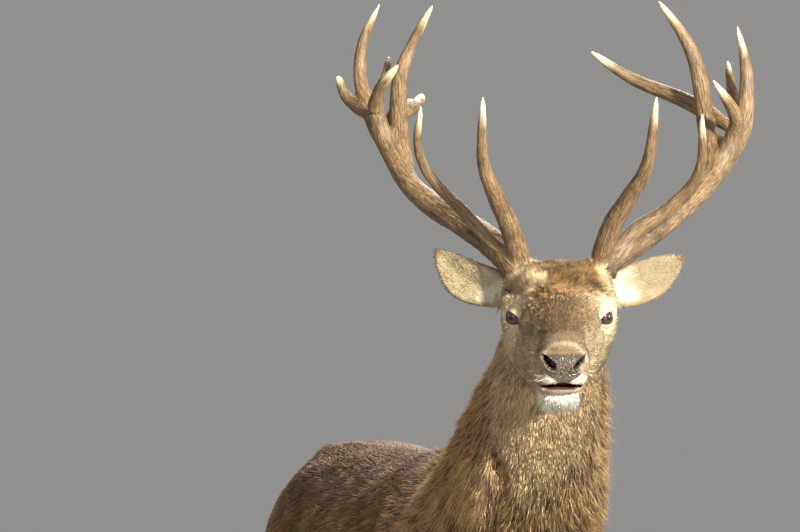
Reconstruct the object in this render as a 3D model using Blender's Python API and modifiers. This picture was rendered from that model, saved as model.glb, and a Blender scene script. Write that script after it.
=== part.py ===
"""Red deer stag, life size, standing, with its head turned to its right.

World frame: metres, +Z up, the stag faces -Y, its left side is +X, and its soles are at Z = 0.
The flesh is modelled whole, from lofted body lengths that a voxel remesh joins, and is then parted
into its named nodes with thin cuts. Antlers, ears, eyes and hoofs are made on their own.
"""

import math

import bmesh
import bpy
import numpy as np
from mathutils import Matrix, Vector

GAP = 0.0005  # between neighbouring nodes
BODY_VOXEL = 0.011
HEAD_VOXEL = 0.0055
BODY_TRIANGLES = 2300
HEAD_TRIANGLES = 1500

# The head is placed by the point midway between its eyes.
EYE_MID = Vector((0.0, -0.87, 1.4375))
HEAD_YAW = math.radians(14.3)  # to the stag's right
HEAD_PITCH = math.radians(13.0)  # nose down
HEAD_TURN = Matrix.Rotation(-HEAD_YAW, 4, "Z")
HEAD_FRAME = Matrix.Translation(EYE_MID) @ HEAD_TURN @ Matrix.Rotation(HEAD_PITCH, 4, "X")
ANTLER_FRAME = Matrix.Translation(EYE_MID) @ HEAD_TURN  # upright, turned with the head

EYE_PLACE = Vector((0.0735, -0.002, 0.0))  # of the left eyeball's centre, in the head's frame
EYE_RADIUS = 0.0205

# Lengths of the body: y or place along it, height of the widest level, half width, rise, drop,
# and how square the upper and the lower half are (2 is an ellipse).
TRUNK = [
    (-0.650, 0.960, 0.045, 0.06, 0.06, 2.0, 2.0),
    (-0.61, 0.960, 0.110, 0.110, 0.150, 2.0, 2.0),
    (-0.53, 0.945, 0.165, 0.190, 0.245, 1.9, 2.0),
    (-0.40, 0.920, 0.205, 0.285, 0.270, 1.7, 2.0),
    (-0.26, 0.900, 0.228, 0.318, 0.262, 1.7, 2.1),
    (-0.08, 0.890, 0.243, 0.312, 0.248, 1.9, 2.2),
    (0.10, 0.900, 0.243, 0.305, 0.234, 2.0, 2.2),
    (0.26, 0.920, 0.225, 0.297, 0.202, 2.1, 2.2),
    (0.40, 0.950, 0.220, 0.272, 0.190, 2.25, 2.1),
    (0.52, 0.970, 0.202, 0.236, 0.180, 2.2, 2.0),
    (0.61, 0.980, 0.162, 0.185, 0.160, 2.2, 2.0),
    (0.67, 0.980, 0.100, 0.115, 0.120, 2.0, 2.0),
]
# x, y, z of the axis, half width, dorsal and ventral depth, squareness of each.
NECK = [
    (0.0, -0.28, 0.965, 0.170, 0.250, 0.250, 1.5, 2.0),
    (0.0, -0.43, 1.030, 0.180, 0.195, 0.240, 1.5, 2.0),
    (0.009, -0.555, 1.130, 0.166, 0.152, 0.212, 1.5, 2.0),
    (0.020, -0.645, 1.245, 0.134, 0.122, 0.168, 1.6, 2.0),
    (0.031, -0.700, 1.350, 0.106, 0.092, 0.128, 1.7, 2.0),
    (0.034, -0.745, 1.440, 0.085, 0.074, 0.095, 1.8, 2.0),
]
# In the head's frame, where -y is towards the nose.
HEAD = [
    (0.170, -0.015, 0.050, 0.045, 0.050, 2.0, 2.0),
    (0.140, -0.010, 0.080, 0.076, 0.095, 2.1, 2.0),
    (0.100, 0.000, 0.094, 0.088, 0.130, 2.4, 2.0),
    (0.055, 0.006, 0.100, 0.084, 0.155, 2.5, 1.9),
    (0.020, 0.004, 0.105, 0.080, 0.158, 2.4, 1.8),
    (-0.015, 0.000, 0.095, 0.076, 0.150, 2.3, 1.8),
    (-0.050, -0.018, 0.077, 0.074, 0.120, 2.2, 1.8),
    (-0.095, -0.030, 0.062, 0.066, 0.094, 2.1, 1.9),
    (-0.140, -0.037, 0.053, 0.060, 0.084, 2.1, 2.1),
    (-0.180, -0.041, 0.0485, 0.052, 0.084, 2.2, 2.3),
    (-0.210, -0.043, 0.0465, 0.045, 0.084, 2.3, 2.4),
    (-0.235, -0.044, 0.0400, 0.034, 0.072, 2.3, 2.3),
    (-0.250, -0.045, 0.0270, 0.022, 0.042, 2.2, 2.2),
]
# Height, y and x of the centre, half width, front and back depth.
FORELEG = [
    (1.04, -0.385, 0.105, 0.055, 0.080, 0.100),
    (0.94, -0.415, 0.115, 0.080, 0.125, 0.130),
    (0.84, -0.410, 0.118, 0.080, 0.118, 0.115),
    (0.76, -0.395, 0.118, 0.068, 0.090, 0.098),
    (0.69, -0.385, 0.115, 0.055, 0.066, 0.080),
    (0.61, -0.385, 0.111, 0.043, 0.050, 0.055),
    (0.53, -0.388, 0.107, 0.034, 0.039, 0.038),
    (0.465, -0.391, 0.104, 0.030, 0.033, 0.032),
    (0.42, -0.394, 0.103, 0.033, 0.034, 0.033),
    (0.38, -0.391, 0.102, 0.029, 0.030, 0.031),
    (0.33, -0.388, 0.102, 0.0220, 0.0225, 0.026),
    (0.24, -0.388, 0.101, 0.0200, 0.0205, 0.0245),
    (0.17, -0.388, 0.100, 0.0220, 0.0220, 0.0270),
    (0.135, -0.390, 0.100, 0.0275, 0.0255, 0.0330),
    (0.095, -0.400, 0.100, 0.0250, 0.0250, 0.0270),
    (0.066, -0.412, 0.100, 0.0300, 0.0290, 0.0290),
    (0.045, -0.418, 0.100, 0.0300, 0.0290, 0.0290),
]
HINDLEG = [
    (1.09, 0.440, 0.100, 0.060, 0.120, 0.140),
    (1.00, 0.450, 0.112, 0.092, 0.170, 0.200),
    (0.90, 0.445, 0.120, 0.096, 0.175, 0.205),
    (0.81, 0.435, 0.124, 0.088, 0.150, 0.175),
    (0.74, 0.432, 0.124, 0.073, 0.118, 0.136),
    (0.67, 0.452, 0.121, 0.056, 0.090, 0.100),
    (0.60, 0.490, 0.117, 0.043, 0.065, 0.072),
    (0.54, 0.532, 0.114, 0.033, 0.047, 0.058),
    (0.495, 0.562, 0.112, 0.029, 0.042, 0.052),
    (0.455, 0.578, 0.111, 0.030, 0.041, 0.037),
    (0.41, 0.584, 0.110, 0.027, 0.032, 0.029),
    (0.36, 0.585, 0.110, 0.0225, 0.0235, 0.0255),
    (0.26, 0.580, 0.109, 0.0205, 0.0215, 0.0245),
    (0.18, 0.576, 0.108, 0.0220, 0.0220, 0.0270),
    (0.14, 0.572, 0.108, 0.0275, 0.0260, 0.0330),
    (0.10, 0.560, 0.108, 0.0250, 0.0250, 0.0270),
    (0.066, 0.546, 0.108, 0.0300, 0.0290, 0.0290),
    (0.045, 0.540, 0.108, 0.0300, 0.0290, 0.0290),
]
# Name, sign of x, table, height where the leg starts to swing, swing of the hoof along y.
LEGS = [
    ("foreleg_left", 1, FORELEG, 0.80, -0.045),
    ("foreleg_right", -1, FORELEG, 0.80, 0.035),
    ("hindleg_left", 1, HINDLEG, 0.90, 0.045),
    ("hindleg_right", -1, HINDLEG, 0.90, -0.085),
]
# Where a leg is parted from the trunk: its range of y, its inner side and the top of its inner side.
LEG_ROOMS = {"foreleg": (-0.63, -0.275, 0.048, 0.700), "hindleg": (0.280, 0.720, 0.028, 0.745)}
JOINT_HEIGHTS = {"foreleg": (0.395, 0.155), "hindleg": (0.435, 0.160)}
LIMB_NAMES = {
    "foreleg": ("forearm", "cannon", "pastern"),
    "hindleg": ("gaskin", "cannon", "pastern"),
}
HOOF_TOP = 0.058
TAIL = [
    (0.0, 0.640, 1.115, 0.034, 0.026, 0.026, 2.0, 2.0),
    (0.0, 0.690, 1.075, 0.036, 0.026, 0.026, 2.0, 2.0),
    (0.0, 0.712, 1.010, 0.034, 0.024, 0.024, 2.0, 2.0),
    (0.0, 0.716, 0.950, 0.024, 0.016, 0.018, 2.0, 2.0),
    (0.0, 0.714, 0.915, 0.008, 0.006, 0.006, 2.0, 2.0),
]

SHEATH = [
    (0.0, 0.270, 0.690, 0.022, 0.024, 0.020, 2.0, 2.0),
    (0.0, 0.200, 0.668, 0.026, 0.026, 0.030, 2.0, 2.0),
    (0.0, 0.115, 0.648, 0.024, 0.024, 0.028, 2.0, 2.0),
    (0.0, 0.065, 0.640, 0.010, 0.010, 0.014, 2.0, 2.0),
]

# Head forms: centre in the head's frame (left side), radii, push (out, back, up) in metres.
HEAD_FORMS = [
    ("brow", (0.088, -0.004, 0.026), (0.024, 0.026, 0.012), (0.008, -0.004, 0.004)),
    ("eye opening", (0.092, -0.016, -0.001), (0.022, 0.018, 0.013), (-0.017, 0.008, 0.0)),
    ("tear pit", (0.066, -0.046, -0.014), (0.016, 0.020, 0.014), (-0.006, 0.004, 0.0)),
    ("cheek bone", (0.086, -0.022, -0.028), (0.018, 0.040, 0.012), (0.006, -0.002, 0.0)),
    ("cheek hollow", (0.058, -0.095, -0.062), (0.020, 0.034, 0.022), (-0.006, 0.0, 0.0)),
    ("jaw muscle", (0.086, 0.040, -0.080), (0.030, 0.035, 0.040), (0.006, 0.0, 0.0)),
    ("pedicle", (0.060, 0.060, 0.085), (0.030, 0.030, 0.030), (0.004, 0.0, 0.008)),
    ("nostril wing", (0.033, -0.230, -0.026), (0.013, 0.015, 0.017), (0.006, -0.004, 0.0)),
    ("nostril", (0.027, -0.248, -0.032), (0.009, 0.014, 0.008), (0.003, 0.014, 0.0)),
    ("lip pad", (0.022, -0.228, -0.064), (0.018, 0.016, 0.010), (0.003, -0.004, 0.0)),
    ("chin", (0.016, -0.212, -0.112), (0.020, 0.024, 0.016), (0.003, -0.004, -0.006)),
    ("temple", (0.092, 0.060, 0.035), (0.016, 0.024, 0.020), (-0.005, 0.0, 0.0)),
]

# Ears: place of the root, tip and open side in the head's frame, for the left side.
EAR = {
    "left": {"root": (0.080, 0.090, 0.018), "tip": (0.226, 0.165, 0.074), "facing": (0.30, -1.0, -0.10)},
    "right": {"root": (0.080, 0.090, 0.018), "tip": (0.219, 0.165, 0.088), "facing": (0.30, -1.0, -0.10)},
}
EAR_HALF_WIDTHS = [0.021, 0.034, 0.042, 0.044, 0.041, 0.033, 0.017, 0.003]
EAR_OPENINGS = [120, 100, 80, 65, 55, 45, 35, 25]  # half angle of the cupped section, degrees
EAR_THICKNESS = 0.006

# Antlers, in the upright head frame: (out, back, up) from the point between the eyes.
# Each length is its points from root to tip, its radius at the root and near the tip.
ANTLERS = {
    "left": {
        "beam": [[(0.056, 0.045, 0.045), (0.083, 0.052, 0.095), (0.150, 0.105, 0.142), (0.210, 0.170, 0.188),
                  (0.270, 0.245, 0.242), (0.318, 0.305, 0.300), (0.350, 0.350, 0.360), (0.358, 0.375, 0.455),
                  (0.340, 0.360, 0.543)], 0.0245, 0.0060],
        "brow_tine": [[(0.070, 0.050, 0.090), (0.095, 0.010, 0.165), (0.126, -0.030, 0.217),
                       (0.155, -0.075, 0.275), (0.168, -0.125, 0.388)], 0.0190, 0.0062],
        "bez_tine": [[(0.095, 0.060, 0.112), (0.145, 0.070, 0.160), (0.202, 0.060, 0.197),
                      (0.252, 0.025, 0.262), (0.253, -0.045, 0.362)], 0.0165, 0.0060],
        "inner_tine": [[(0.292, 0.272, 0.265), (0.281, 0.350, 0.375), (0.267, 0.385, 0.470),
                        (0.240, 0.390, 0.530), (0.195, 0.370, 0.590)], 0.0200, 0.0058],
        "front_tine": [[(0.285, 0.270, 0.262), (0.322, 0.288, 0.318), (0.332, 0.268, 0.370),
                        (0.287, 0.210, 0.435)], 0.0195, 0.0050],
        "cross_tine": [[(0.335, 0.350, 0.350), (0.255, 0.430, 0.405), (0.150, 0.475, 0.452),
                        (0.073, 0.462, 0.502)], 0.0165, 0.0048],
        "back_tine": [[(0.350, 0.370, 0.375), (0.335, 0.425, 0.425), (0.328, 0.460, 0.485)], 0.0125, 0.0042],
    },
    "right": {
        "beam": [[(0.054, 0.045, 0.045), (0.078, 0.052, 0.092), (0.125, 0.090, 0.134), (0.177, 0.135, 0.170),
                  (0.230, 0.190, 0.212), (0.275, 0.245, 0.262), (0.325, 0.325, 0.358), (0.352, 0.375, 0.440),
                  (0.348, 0.385, 0.515), (0.318, 0.365, 0.583)], 0.0245, 0.0060],
        "brow_tine": [[(0.064, 0.050, 0.088), (0.088, 0.010, 0.160), (0.114, -0.030, 0.214),
                       (0.138, -0.075, 0.275), (0.140, -0.125, 0.388)], 0.0190, 0.0062],
        "bez_tine": [[(0.082, 0.060, 0.102), (0.130, 0.070, 0.147), (0.177, 0.065, 0.183),
                      (0.230, 0.030, 0.250), (0.250, -0.045, 0.376)], 0.0150, 0.0060],
        "inner_tine": [[(0.278, 0.265, 0.275), (0.283, 0.325, 0.357), (0.280, 0.375, 0.445),
                        (0.260, 0.390, 0.505), (0.220, 0.370, 0.582)], 0.0205, 0.0058],
        "front_tine": [[(0.305, 0.295, 0.320), (0.325, 0.290, 0.378), (0.315, 0.255, 0.425),
                        (0.285, 0.215, 0.463)], 0.0205, 0.0052],
        "cross_tine": [[(0.302, 0.340, 0.365), (0.268, 0.420, 0.392), (0.250, 0.500, 0.402),
                        (0.236, 0.572, 0.425)], 0.0185, 0.0070],
        "back_tine": [[(0.330, 0.365, 0.400), (0.307, 0.420, 0.450), (0.300, 0.455, 0.492)], 0.0120, 0.0042],
        "outer_tine": [[(0.340, 0.345, 0.378), (0.378, 0.375, 0.412), (0.396, 0.370, 0.452)], 0.0135, 0.0055],
    },
}
CROWN_FORK = {"left": 0.335, "right": 0.345}  # height at which the beam becomes the crown
ANTLER_SIDES = 8


# --- helpers ---

def smooth_rows(rows, steps):
    """Catmull-Rom values through the rows, with this many steps between neighbours."""
    table = np.array(rows, float)
    padded = np.vstack([2 * table[0] - table[1], table, 2 * table[-1] - table[-2]])
    out = []
    for i in range(1, len(padded) - 2):
        p0, p1, p2, p3 = padded[i - 1 : i + 3]
        for t in np.linspace(0, 1, steps, endpoint=False):
            out.append(0.5 * (2 * p1 + (p2 - p0) * t + (2 * p0 - 5 * p1 + 4 * p2 - p3) * t**2
                              + (3 * p1 - p0 - 3 * p2 + p3) * t**3))
    out.append(padded[-2])
    return np.array(out)


def section(centre, side, up, half_width, rise, drop, top_power, low_power, count):
    """One closed cross-section: an upper and a lower half superellipse."""
    angles = np.arange(count) * 2 * math.pi / count
    c, s = np.cos(angles), np.sin(angles)
    power = np.where(s >= 0, top_power, low_power)
    across = half_width * np.sign(c) * np.abs(c) ** (2 / power)
    height = np.where(s >= 0, rise, drop) * np.sign(s) * np.abs(s) ** (2 / power)
    return np.array(centre) + np.outer(across, side) + np.outer(height, up)


def mesh_object(name, points, faces):
    mesh = bpy.data.meshes.new(name)
    mesh.from_pydata([tuple(p) for p in points], [], faces)
    mesh.update()
    made = bpy.data.objects.new(name, mesh)
    bpy.context.scene.collection.objects.link(made)
    return made


def loft(name, rings):
    """A closed skin through rings of equal count, with a face over each end."""
    count = len(rings[0])
    faces = [
        (i * count + j, i * count + (j + 1) % count, (i + 1) * count + (j + 1) % count, (i + 1) * count + j)
        for i in range(len(rings) - 1)
        for j in range(count)
    ]
    faces.append(tuple(reversed(range(count))))
    faces.append(tuple((len(rings) - 1) * count + j for j in range(count)))
    made = mesh_object(name, np.vstack(rings), faces)
    tidy = bmesh.new()
    tidy.from_mesh(made.data)
    bmesh.ops.recalc_face_normals(tidy, faces=tidy.faces)
    tidy.to_mesh(made.data)
    tidy.free()
    return made


def evaluated(obj, name=None):
    """The object with its modifiers made real, as a new object, in the old one's place."""
    graph = bpy.context.evaluated_depsgraph_get()
    mesh = bpy.data.meshes.new_from_object(obj.evaluated_get(graph))
    mesh.transform(obj.matrix_world)
    made = bpy.data.objects.new(name or obj.name, mesh)
    bpy.context.scene.collection.objects.link(made)
    bpy.data.objects.remove(obj)
    if name:
        made.name = name
    return made


def joined(objects, name):
    """The objects' meshes in one."""
    whole = bmesh.new()
    for obj in objects:
        obj.data.transform(obj.matrix_world)
        whole.from_mesh(obj.data)
        bpy.data.objects.remove(obj)
    mesh = bpy.data.meshes.new(name)
    whole.to_mesh(mesh)
    whole.free()
    made = bpy.data.objects.new(name, mesh)
    bpy.context.scene.collection.objects.link(made)
    return made


def remeshed(obj, voxel, smoothing):
    remesh = obj.modifiers.new("join", "REMESH")
    remesh.mode, remesh.voxel_size = "VOXEL", voxel
    soften = obj.modifiers.new("soften", "SMOOTH")
    soften.factor, soften.iterations = 0.5, smoothing
    return evaluated(obj)


def reduced(obj, triangles):
    count = sum(len(p.vertices) - 2 for p in obj.data.polygons)
    decimate = obj.modifiers.new("reduce", "DECIMATE")
    decimate.ratio = triangles / count
    decimate.use_collapse_triangulate = True
    return evaluated(obj)


def coordinates(mesh):
    out = np.empty(len(mesh.vertices) * 3, np.float32)
    mesh.vertices.foreach_get("co", out)
    return out.reshape(-1, 3).astype(float)


def set_coordinates(mesh, points):
    mesh.vertices.foreach_set("co", points.astype(np.float32).ravel())
    mesh.update()


def split(obj, point, normal):
    """The front part of a solid, beyond the plane, is returned; the rest stays. Both ends are closed."""
    front = obj.copy()
    front.data = obj.data.copy()
    bpy.context.scene.collection.objects.link(front)
    for piece, keep_front in ((front, True), (obj, False)):
        shift = Vector(normal).normalized() * (GAP / 2 if keep_front else -GAP / 2)
        cut = bmesh.new()
        cut.from_mesh(piece.data)
        geometry = cut.verts[:] + cut.edges[:] + cut.faces[:]
        bmesh.ops.bisect_plane(cut, geom=geometry, plane_co=Vector(point) + shift, plane_no=normal,
                               clear_inner=keep_front, clear_outer=not keep_front)
        bmesh.ops.holes_fill(cut, edges=[e for e in cut.edges if e.is_boundary])
        bmesh.ops.triangulate(cut, faces=[f for f in cut.faces if len(f.verts) > 4])
        cut.to_mesh(piece.data)
        cut.free()
    return front


def boolean(obj, cutter, operation):
    cut = obj.modifiers.new("cut", "BOOLEAN")
    cut.object, cut.operation, cut.solver = cutter, operation, "EXACT"
    return evaluated(obj)


def grown(obj, by):
    """A copy of a closed mesh, grown along its normals, to cut its neighbour with a gap."""
    copy = obj.copy()
    copy.data = obj.data.copy()
    bpy.context.scene.collection.objects.link(copy)
    normals = np.empty(len(copy.data.vertices) * 3, np.float32)
    copy.data.vertices.foreach_get("normal", normals)
    set_coordinates(copy.data, coordinates(copy.data) + by * normals.reshape(-1, 3))
    return copy


def cut_by(obj, neighbour):
    """Takes the neighbour's space, and a thin gap, out of obj."""
    cutter = grown(neighbour, GAP)
    made = boolean(obj, cutter, "DIFFERENCE")
    bpy.data.objects.remove(cutter)
    return largest(made)


def largest(obj):
    """Keeps only the biggest loose part of a mesh."""
    shape = bmesh.new()
    shape.from_mesh(obj.data)
    left = set(shape.verts)
    parts = []
    while left:
        todo = [left.pop()]
        part = set(todo)
        while todo:
            for edge in todo.pop().link_edges:
                for vertex in edge.verts:
                    if vertex in left:
                        left.discard(vertex)
                        part.add(vertex)
                        todo.append(vertex)
        parts.append(part)
    biggest = max(parts, key=len)
    bmesh.ops.delete(shape, geom=[v for v in shape.verts if v not in biggest])
    shape.to_mesh(obj.data)
    shape.free()
    return obj


def box(name, low, high, frame=None):
    bpy.ops.mesh.primitive_cube_add(size=1)
    made = bpy.context.object
    made.name = name
    size, middle = Vector(high) - Vector(low), (Vector(high) + Vector(low)) / 2
    made.data.transform((frame or Matrix()) @ Matrix.Translation(middle) @ Matrix.Diagonal((*size, 1)))
    return made


# --- the flesh ---

def level_loft(name, rows, frame, steps=4, count=28):
    """A length whose sections stand across y: the trunk and the head."""
    rings = []
    for y, z, half_width, rise, drop, top, low in smooth_rows(rows, steps):
        ring = section((0, y, z), (1, 0, 0), (0, 0, 1), half_width, rise, drop, top, low, count)
        rings.append([frame @ Vector(p) for p in ring])
    return loft(name, rings)


def path_loft(name, rows, steps=4, count=24):
    """A length whose sections stand across its own bent axis: the neck and the tail."""
    table = smooth_rows(rows, steps)
    rings = []
    for i, (x, y, z, half_width, rise, drop, top, low) in enumerate(table):
        ahead, behind = table[min(i + 1, len(table) - 1)][:3], table[max(i - 1, 0)][:3]
        along = Vector(ahead - behind).normalized()
        dorsal = Vector((0, 0.7, 0.7))
        up = (dorsal - along * dorsal.dot(along)).normalized()
        ring = section((x, y, z), up.cross(along), up, half_width, rise, drop, top, low, count)
        rings.append(ring)
    return loft(name, rings)


def leg_centre(row, sign, pivot, swing):
    z, y, x = row[:3]
    share = max(0.0, (pivot - z) / pivot)
    return (sign * x, y + swing * share, z)


def leg_loft(name, rows, sign, pivot, swing, count=20):
    rings = []
    for row in smooth_rows(rows, 3):
        half_width, front, back = row[3:]
        centre = leg_centre(row, sign, pivot, swing)
        rings.append(section(centre, (1, 0, 0), (0, -1, 0), half_width, front, back, 2.1, 2.1, count))
    return loft(name, rings)


def shape_head(obj):
    """Pushes the head's surface into its forms, on both sides."""
    points = coordinates(obj.data)
    to_head = np.array(HEAD_FRAME.inverted())
    local = points @ to_head[:3, :3].T + to_head[:3, 3]
    moved = np.zeros_like(local)
    for _, centre, radii, push in HEAD_FORMS:
        for sign in (1, -1):
            mirror = np.array((sign, 1, 1))
            distance = ((local - np.array(centre) * mirror) / np.array(radii)) ** 2
            weight = np.exp(-distance.sum(axis=1))
            moved += weight[:, None] * np.array(push) * mirror
    local += moved
    from_head = np.array(HEAD_FRAME)
    set_coordinates(obj.data, local @ from_head[:3, :3].T + from_head[:3, 3])


def body_flesh():
    lengths = [
        level_loft("trunk", TRUNK, Matrix()),
        path_loft("neck", NECK),
        level_loft("head", HEAD, HEAD_FRAME),
        path_loft("tail", TAIL, count=12),
        path_loft("sheath", SHEATH, count=12),
    ]
    lengths += [leg_loft(name, rows, sign, pivot, swing) for name, sign, rows, pivot, swing in LEGS]
    whole = remeshed(joined(lengths, "flesh"), BODY_VOXEL, 10)
    return reduced(whole, BODY_TRIANGLES)


def head_flesh():
    lengths = [path_loft("neck", NECK[2:]), level_loft("head", HEAD, HEAD_FRAME, 5, 40)]
    whole = remeshed(joined(lengths, "head"), HEAD_VOXEL, 6)
    shape_head(whole)
    return reduced(whole, HEAD_TRIANGLES)


# --- parting the flesh ---

def in_head(vector):
    return HEAD_FRAME @ Vector(vector)


def part_head_and_neck(body, fine_head):
    point = in_head((0, 0.105, -0.055))
    normal = HEAD_FRAME.to_3x3() @ Vector((0, -0.90, 0.43))
    bpy.data.objects.remove(split(body, point, normal))
    head = split(fine_head, point, normal)
    bpy.data.objects.remove(fine_head)
    head.name = "head"
    neck = split(body, (0, -0.455, 1.055), (0, -0.66, 0.75))
    neck.name = "neck"
    return head, neck


def part_jaw(head):
    """Parts the lower jaw along the mouth, and opens the lips a little in front."""
    mouth_back = HEAD_FRAME @ Matrix.Translation((0, -0.120, -0.067))
    low = mouth_back @ Matrix.Rotation(math.radians(2.0), 4, "X")
    jaw_space = box("jaw_space", (-0.2, -0.3, -0.3), (0.2, 0.145, 0), low)
    gap_space = box("gap_space", (-0.2, -0.31, -0.3), (0.2, 0.145 + GAP, GAP), low)
    jaw = head.copy()
    jaw.data = head.data.copy()
    bpy.context.scene.collection.objects.link(jaw)
    jaw = boolean(jaw, jaw_space, "INTERSECT")
    head = boolean(head, gap_space, "DIFFERENCE")
    opened = mouth_back @ Matrix.Translation((0, -0.030, 0)) @ Matrix.Rotation(math.radians(6.0), 4, "X")
    lips = box("lips", (-0.2, -0.3, -0.0002), (0.2, 0.0, 0.05), opened)
    jaw = boolean(jaw, lips, "DIFFERENCE")
    for cutter in (jaw_space, gap_space, lips):
        bpy.data.objects.remove(cutter)
    jaw.name = "lower_jaw"
    head.name = "head"
    return largest(head), largest(jaw)


def leg_room(sign, y_low, y_high, inner, top, margin):
    """The space a leg is parted from: a box whose top rises outwards, along the fold of the limb."""
    room = box("leg_room", (inner - margin, y_low - margin, -0.1), (0.4 + margin, y_high + margin, top + margin))
    for vertex in room.data.vertices:
        if vertex.co.z > 0:
            vertex.co.z += (vertex.co.x - inner) * 0.45
        vertex.co.x *= sign
    if sign < 0:
        room.data.flip_normals()
    return room


def part_legs(body):
    for name, sign, rows, pivot, swing in LEGS:
        kind = name.split("_")[0]
        space, gap_space = (leg_room(sign, *LEG_ROOMS[kind], margin) for margin in (0, GAP))
        leg = body.copy()
        leg.data = body.data.copy()
        bpy.context.scene.collection.objects.link(leg)
        leg = largest(boolean(leg, space, "INTERSECT"))
        body = largest(boolean(body, gap_space, "DIFFERENCE"))
        for cutter in (space, gap_space):
            bpy.data.objects.remove(cutter)
        upper, lower = JOINT_HEIGHTS[kind]
        below = split(leg, (0, 0, upper), (0, 0, -1))
        foot = split(below, (0, 0, lower), (0, 0, -1))
        bpy.data.objects.remove(split(foot, (0, 0, HOOF_TOP), (0, 0, -1)))
        for piece, part in zip((leg, below, foot), LIMB_NAMES[kind]):
            piece.name = f"{name}_{part}"
            paint(piece, "coat")
    return body


# --- hoofs, ears, eyes and antlers ---

def claw(name, x, y, turn):
    """One horn claw: a pointed toe on a flat sole."""
    outlines = [(0.0, 0.0165, 0.060, 0.034), (0.022, 0.0168, 0.050, 0.034), (HOOF_TOP - GAP, 0.0140, 0.022, 0.030)]
    rings = []
    for z, half_width, front, back in outlines:
        ring = section((0, -0.1 * z, z), (1, 0, 0), (0, -1, 0), half_width, front, back, 1.7, 2.3, 10)
        rings.append([Matrix.Translation((x, y, 0)) @ Matrix.Rotation(turn, 4, "Z") @ Vector(p) for p in ring])
    made = loft(name, rings)
    paint(made, "hoof")
    return made


def dew_claw(name, place):
    made = loft(name, [
        section(Vector(place) + Vector((0, along, -1.1 * along)), (1, 0, 0), (0, 0.7, 0.7), size, size, size,
                2.0, 2.0, 6)
        for along, size in ((-0.016, 0.0080), (0.002, 0.0100), (0.013, 0.0045))
    ])
    paint(made, "hoof")
    return made


def make_hoofs():
    for name, sign, rows, pivot, swing in LEGS:
        x, y, _ = leg_centre(rows[-2], sign, pivot, swing)
        pastern = bpy.data.objects[f"{name}_pastern"]
        fetlock = leg_centre(rows[-4], sign, pivot, swing)
        for part, step in (("inner", -sign), ("outer", sign)):
            claw(f"{name}_claw_{part}", x + step * 0.0185, y - 0.004, -step * math.radians(3))
            place = (fetlock[0] + step * 0.0150, fetlock[1] + 0.030, fetlock[2] - 0.022)
            pastern = cut_by(pastern, dew_claw(f"{name}_dewclaw_{part}", place))
        pastern.name = f"{name}_pastern"


def ear(side, head):
    """A cupped leaf: an open sheet along the ear's axis, given its thickness by Solidify."""
    sign = 1 if side == "left" else -1
    root, tip, facing = (Vector((sign * v[0], v[1], v[2])) for v in EAR[side].values())
    along = (tip - root).normalized()
    front = (facing - along * facing.dot(along)).normalized()
    across = along.cross(front)
    lengthways, crossways = len(EAR_HALF_WIDTHS), 5
    points = []
    for i, (width, opening) in enumerate(zip(EAR_HALF_WIDTHS, EAR_OPENINGS)):
        share = i / (lengthways - 1)
        middle = root + (tip - root) * share
        radius = width / math.sin(math.radians(min(opening, 90)))
        for j in range(crossways):
            angle = math.radians(opening) * (2 * j / (crossways - 1) - 1)
            rim = across * radius * math.sin(angle) + front * radius * (1 - math.cos(angle))
            points.append(HEAD_FRAME @ (middle + rim - front * 0.3 * radius))
    faces = [
        (i * crossways + j, i * crossways + j + 1, (i + 1) * crossways + j + 1, (i + 1) * crossways + j)
        for i in range(lengthways - 1)
        for j in range(crossways - 1)
    ]
    made = mesh_object(f"ear_{side}", points, faces)
    shell = made.modifiers.new("thickness", "SOLIDIFY")
    shell.thickness, shell.offset = EAR_THICKNESS, 0
    made = evaluated(made)
    for neighbour in (head, bpy.data.objects[f"antler_{side}_beam"]):
        made = cut_by(made, neighbour)
    made.name = f"ear_{side}"
    paint(made, "coat")


def make_eyes(head):
    for side, sign in (("left", 1), ("right", -1)):
        place = in_head((sign * EYE_PLACE.x, EYE_PLACE.y, EYE_PLACE.z))
        socket_tool = sphere("socket_tool", place, EYE_RADIUS + GAP)
        head = largest(boolean(head, socket_tool, "DIFFERENCE"))
        bpy.data.objects.remove(socket_tool)
        eye = sphere(f"eye_{side}", place, EYE_RADIUS)
        paint(eye, "eye")
    head.name = "head"
    return head


def sphere(name, place, radius):
    bpy.ops.mesh.primitive_uv_sphere_add(segments=12, ring_count=8, radius=radius)
    made = bpy.context.object
    made.data.transform(Matrix.Translation(place))
    made.name = name
    return made


def tine(name, sign, points, start_radius, tip_radius, steps=2):
    """A tapering bent tube, as a curve with a bevel, turned into a mesh."""
    table = smooth_rows(points, steps)
    curve = bpy.data.curves.new(name, "CURVE")
    curve.dimensions, curve.bevel_depth, curve.bevel_resolution = "3D", 1.0, (ANTLER_SIDES - 4) // 2
    curve.use_fill_caps = True
    spline = curve.splines.new("POLY")
    spline.points.add(len(table) - 1)
    for i, (out, back, up) in enumerate(table):
        share = i / (len(table) - 1)
        radius = start_radius + (tip_radius - start_radius) * share**1.8
        if i in (0, len(table) - 1):
            radius *= 0.5  # round ends: the root lies inside its neighbour
        spline.points[i].co = (*(ANTLER_FRAME @ Vector((sign * out, back, up))), 1)
        spline.points[i].radius = radius
    made = bpy.data.objects.new(name, curve)
    bpy.context.scene.collection.objects.link(made)
    made = evaluated(made, name)
    weld = bmesh.new()
    weld.from_mesh(made.data)
    bmesh.ops.remove_doubles(weld, verts=weld.verts, dist=0.0001)
    bmesh.ops.recalc_face_normals(weld, faces=weld.faces)
    weld.to_mesh(made.data)
    weld.free()
    return made


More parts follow.
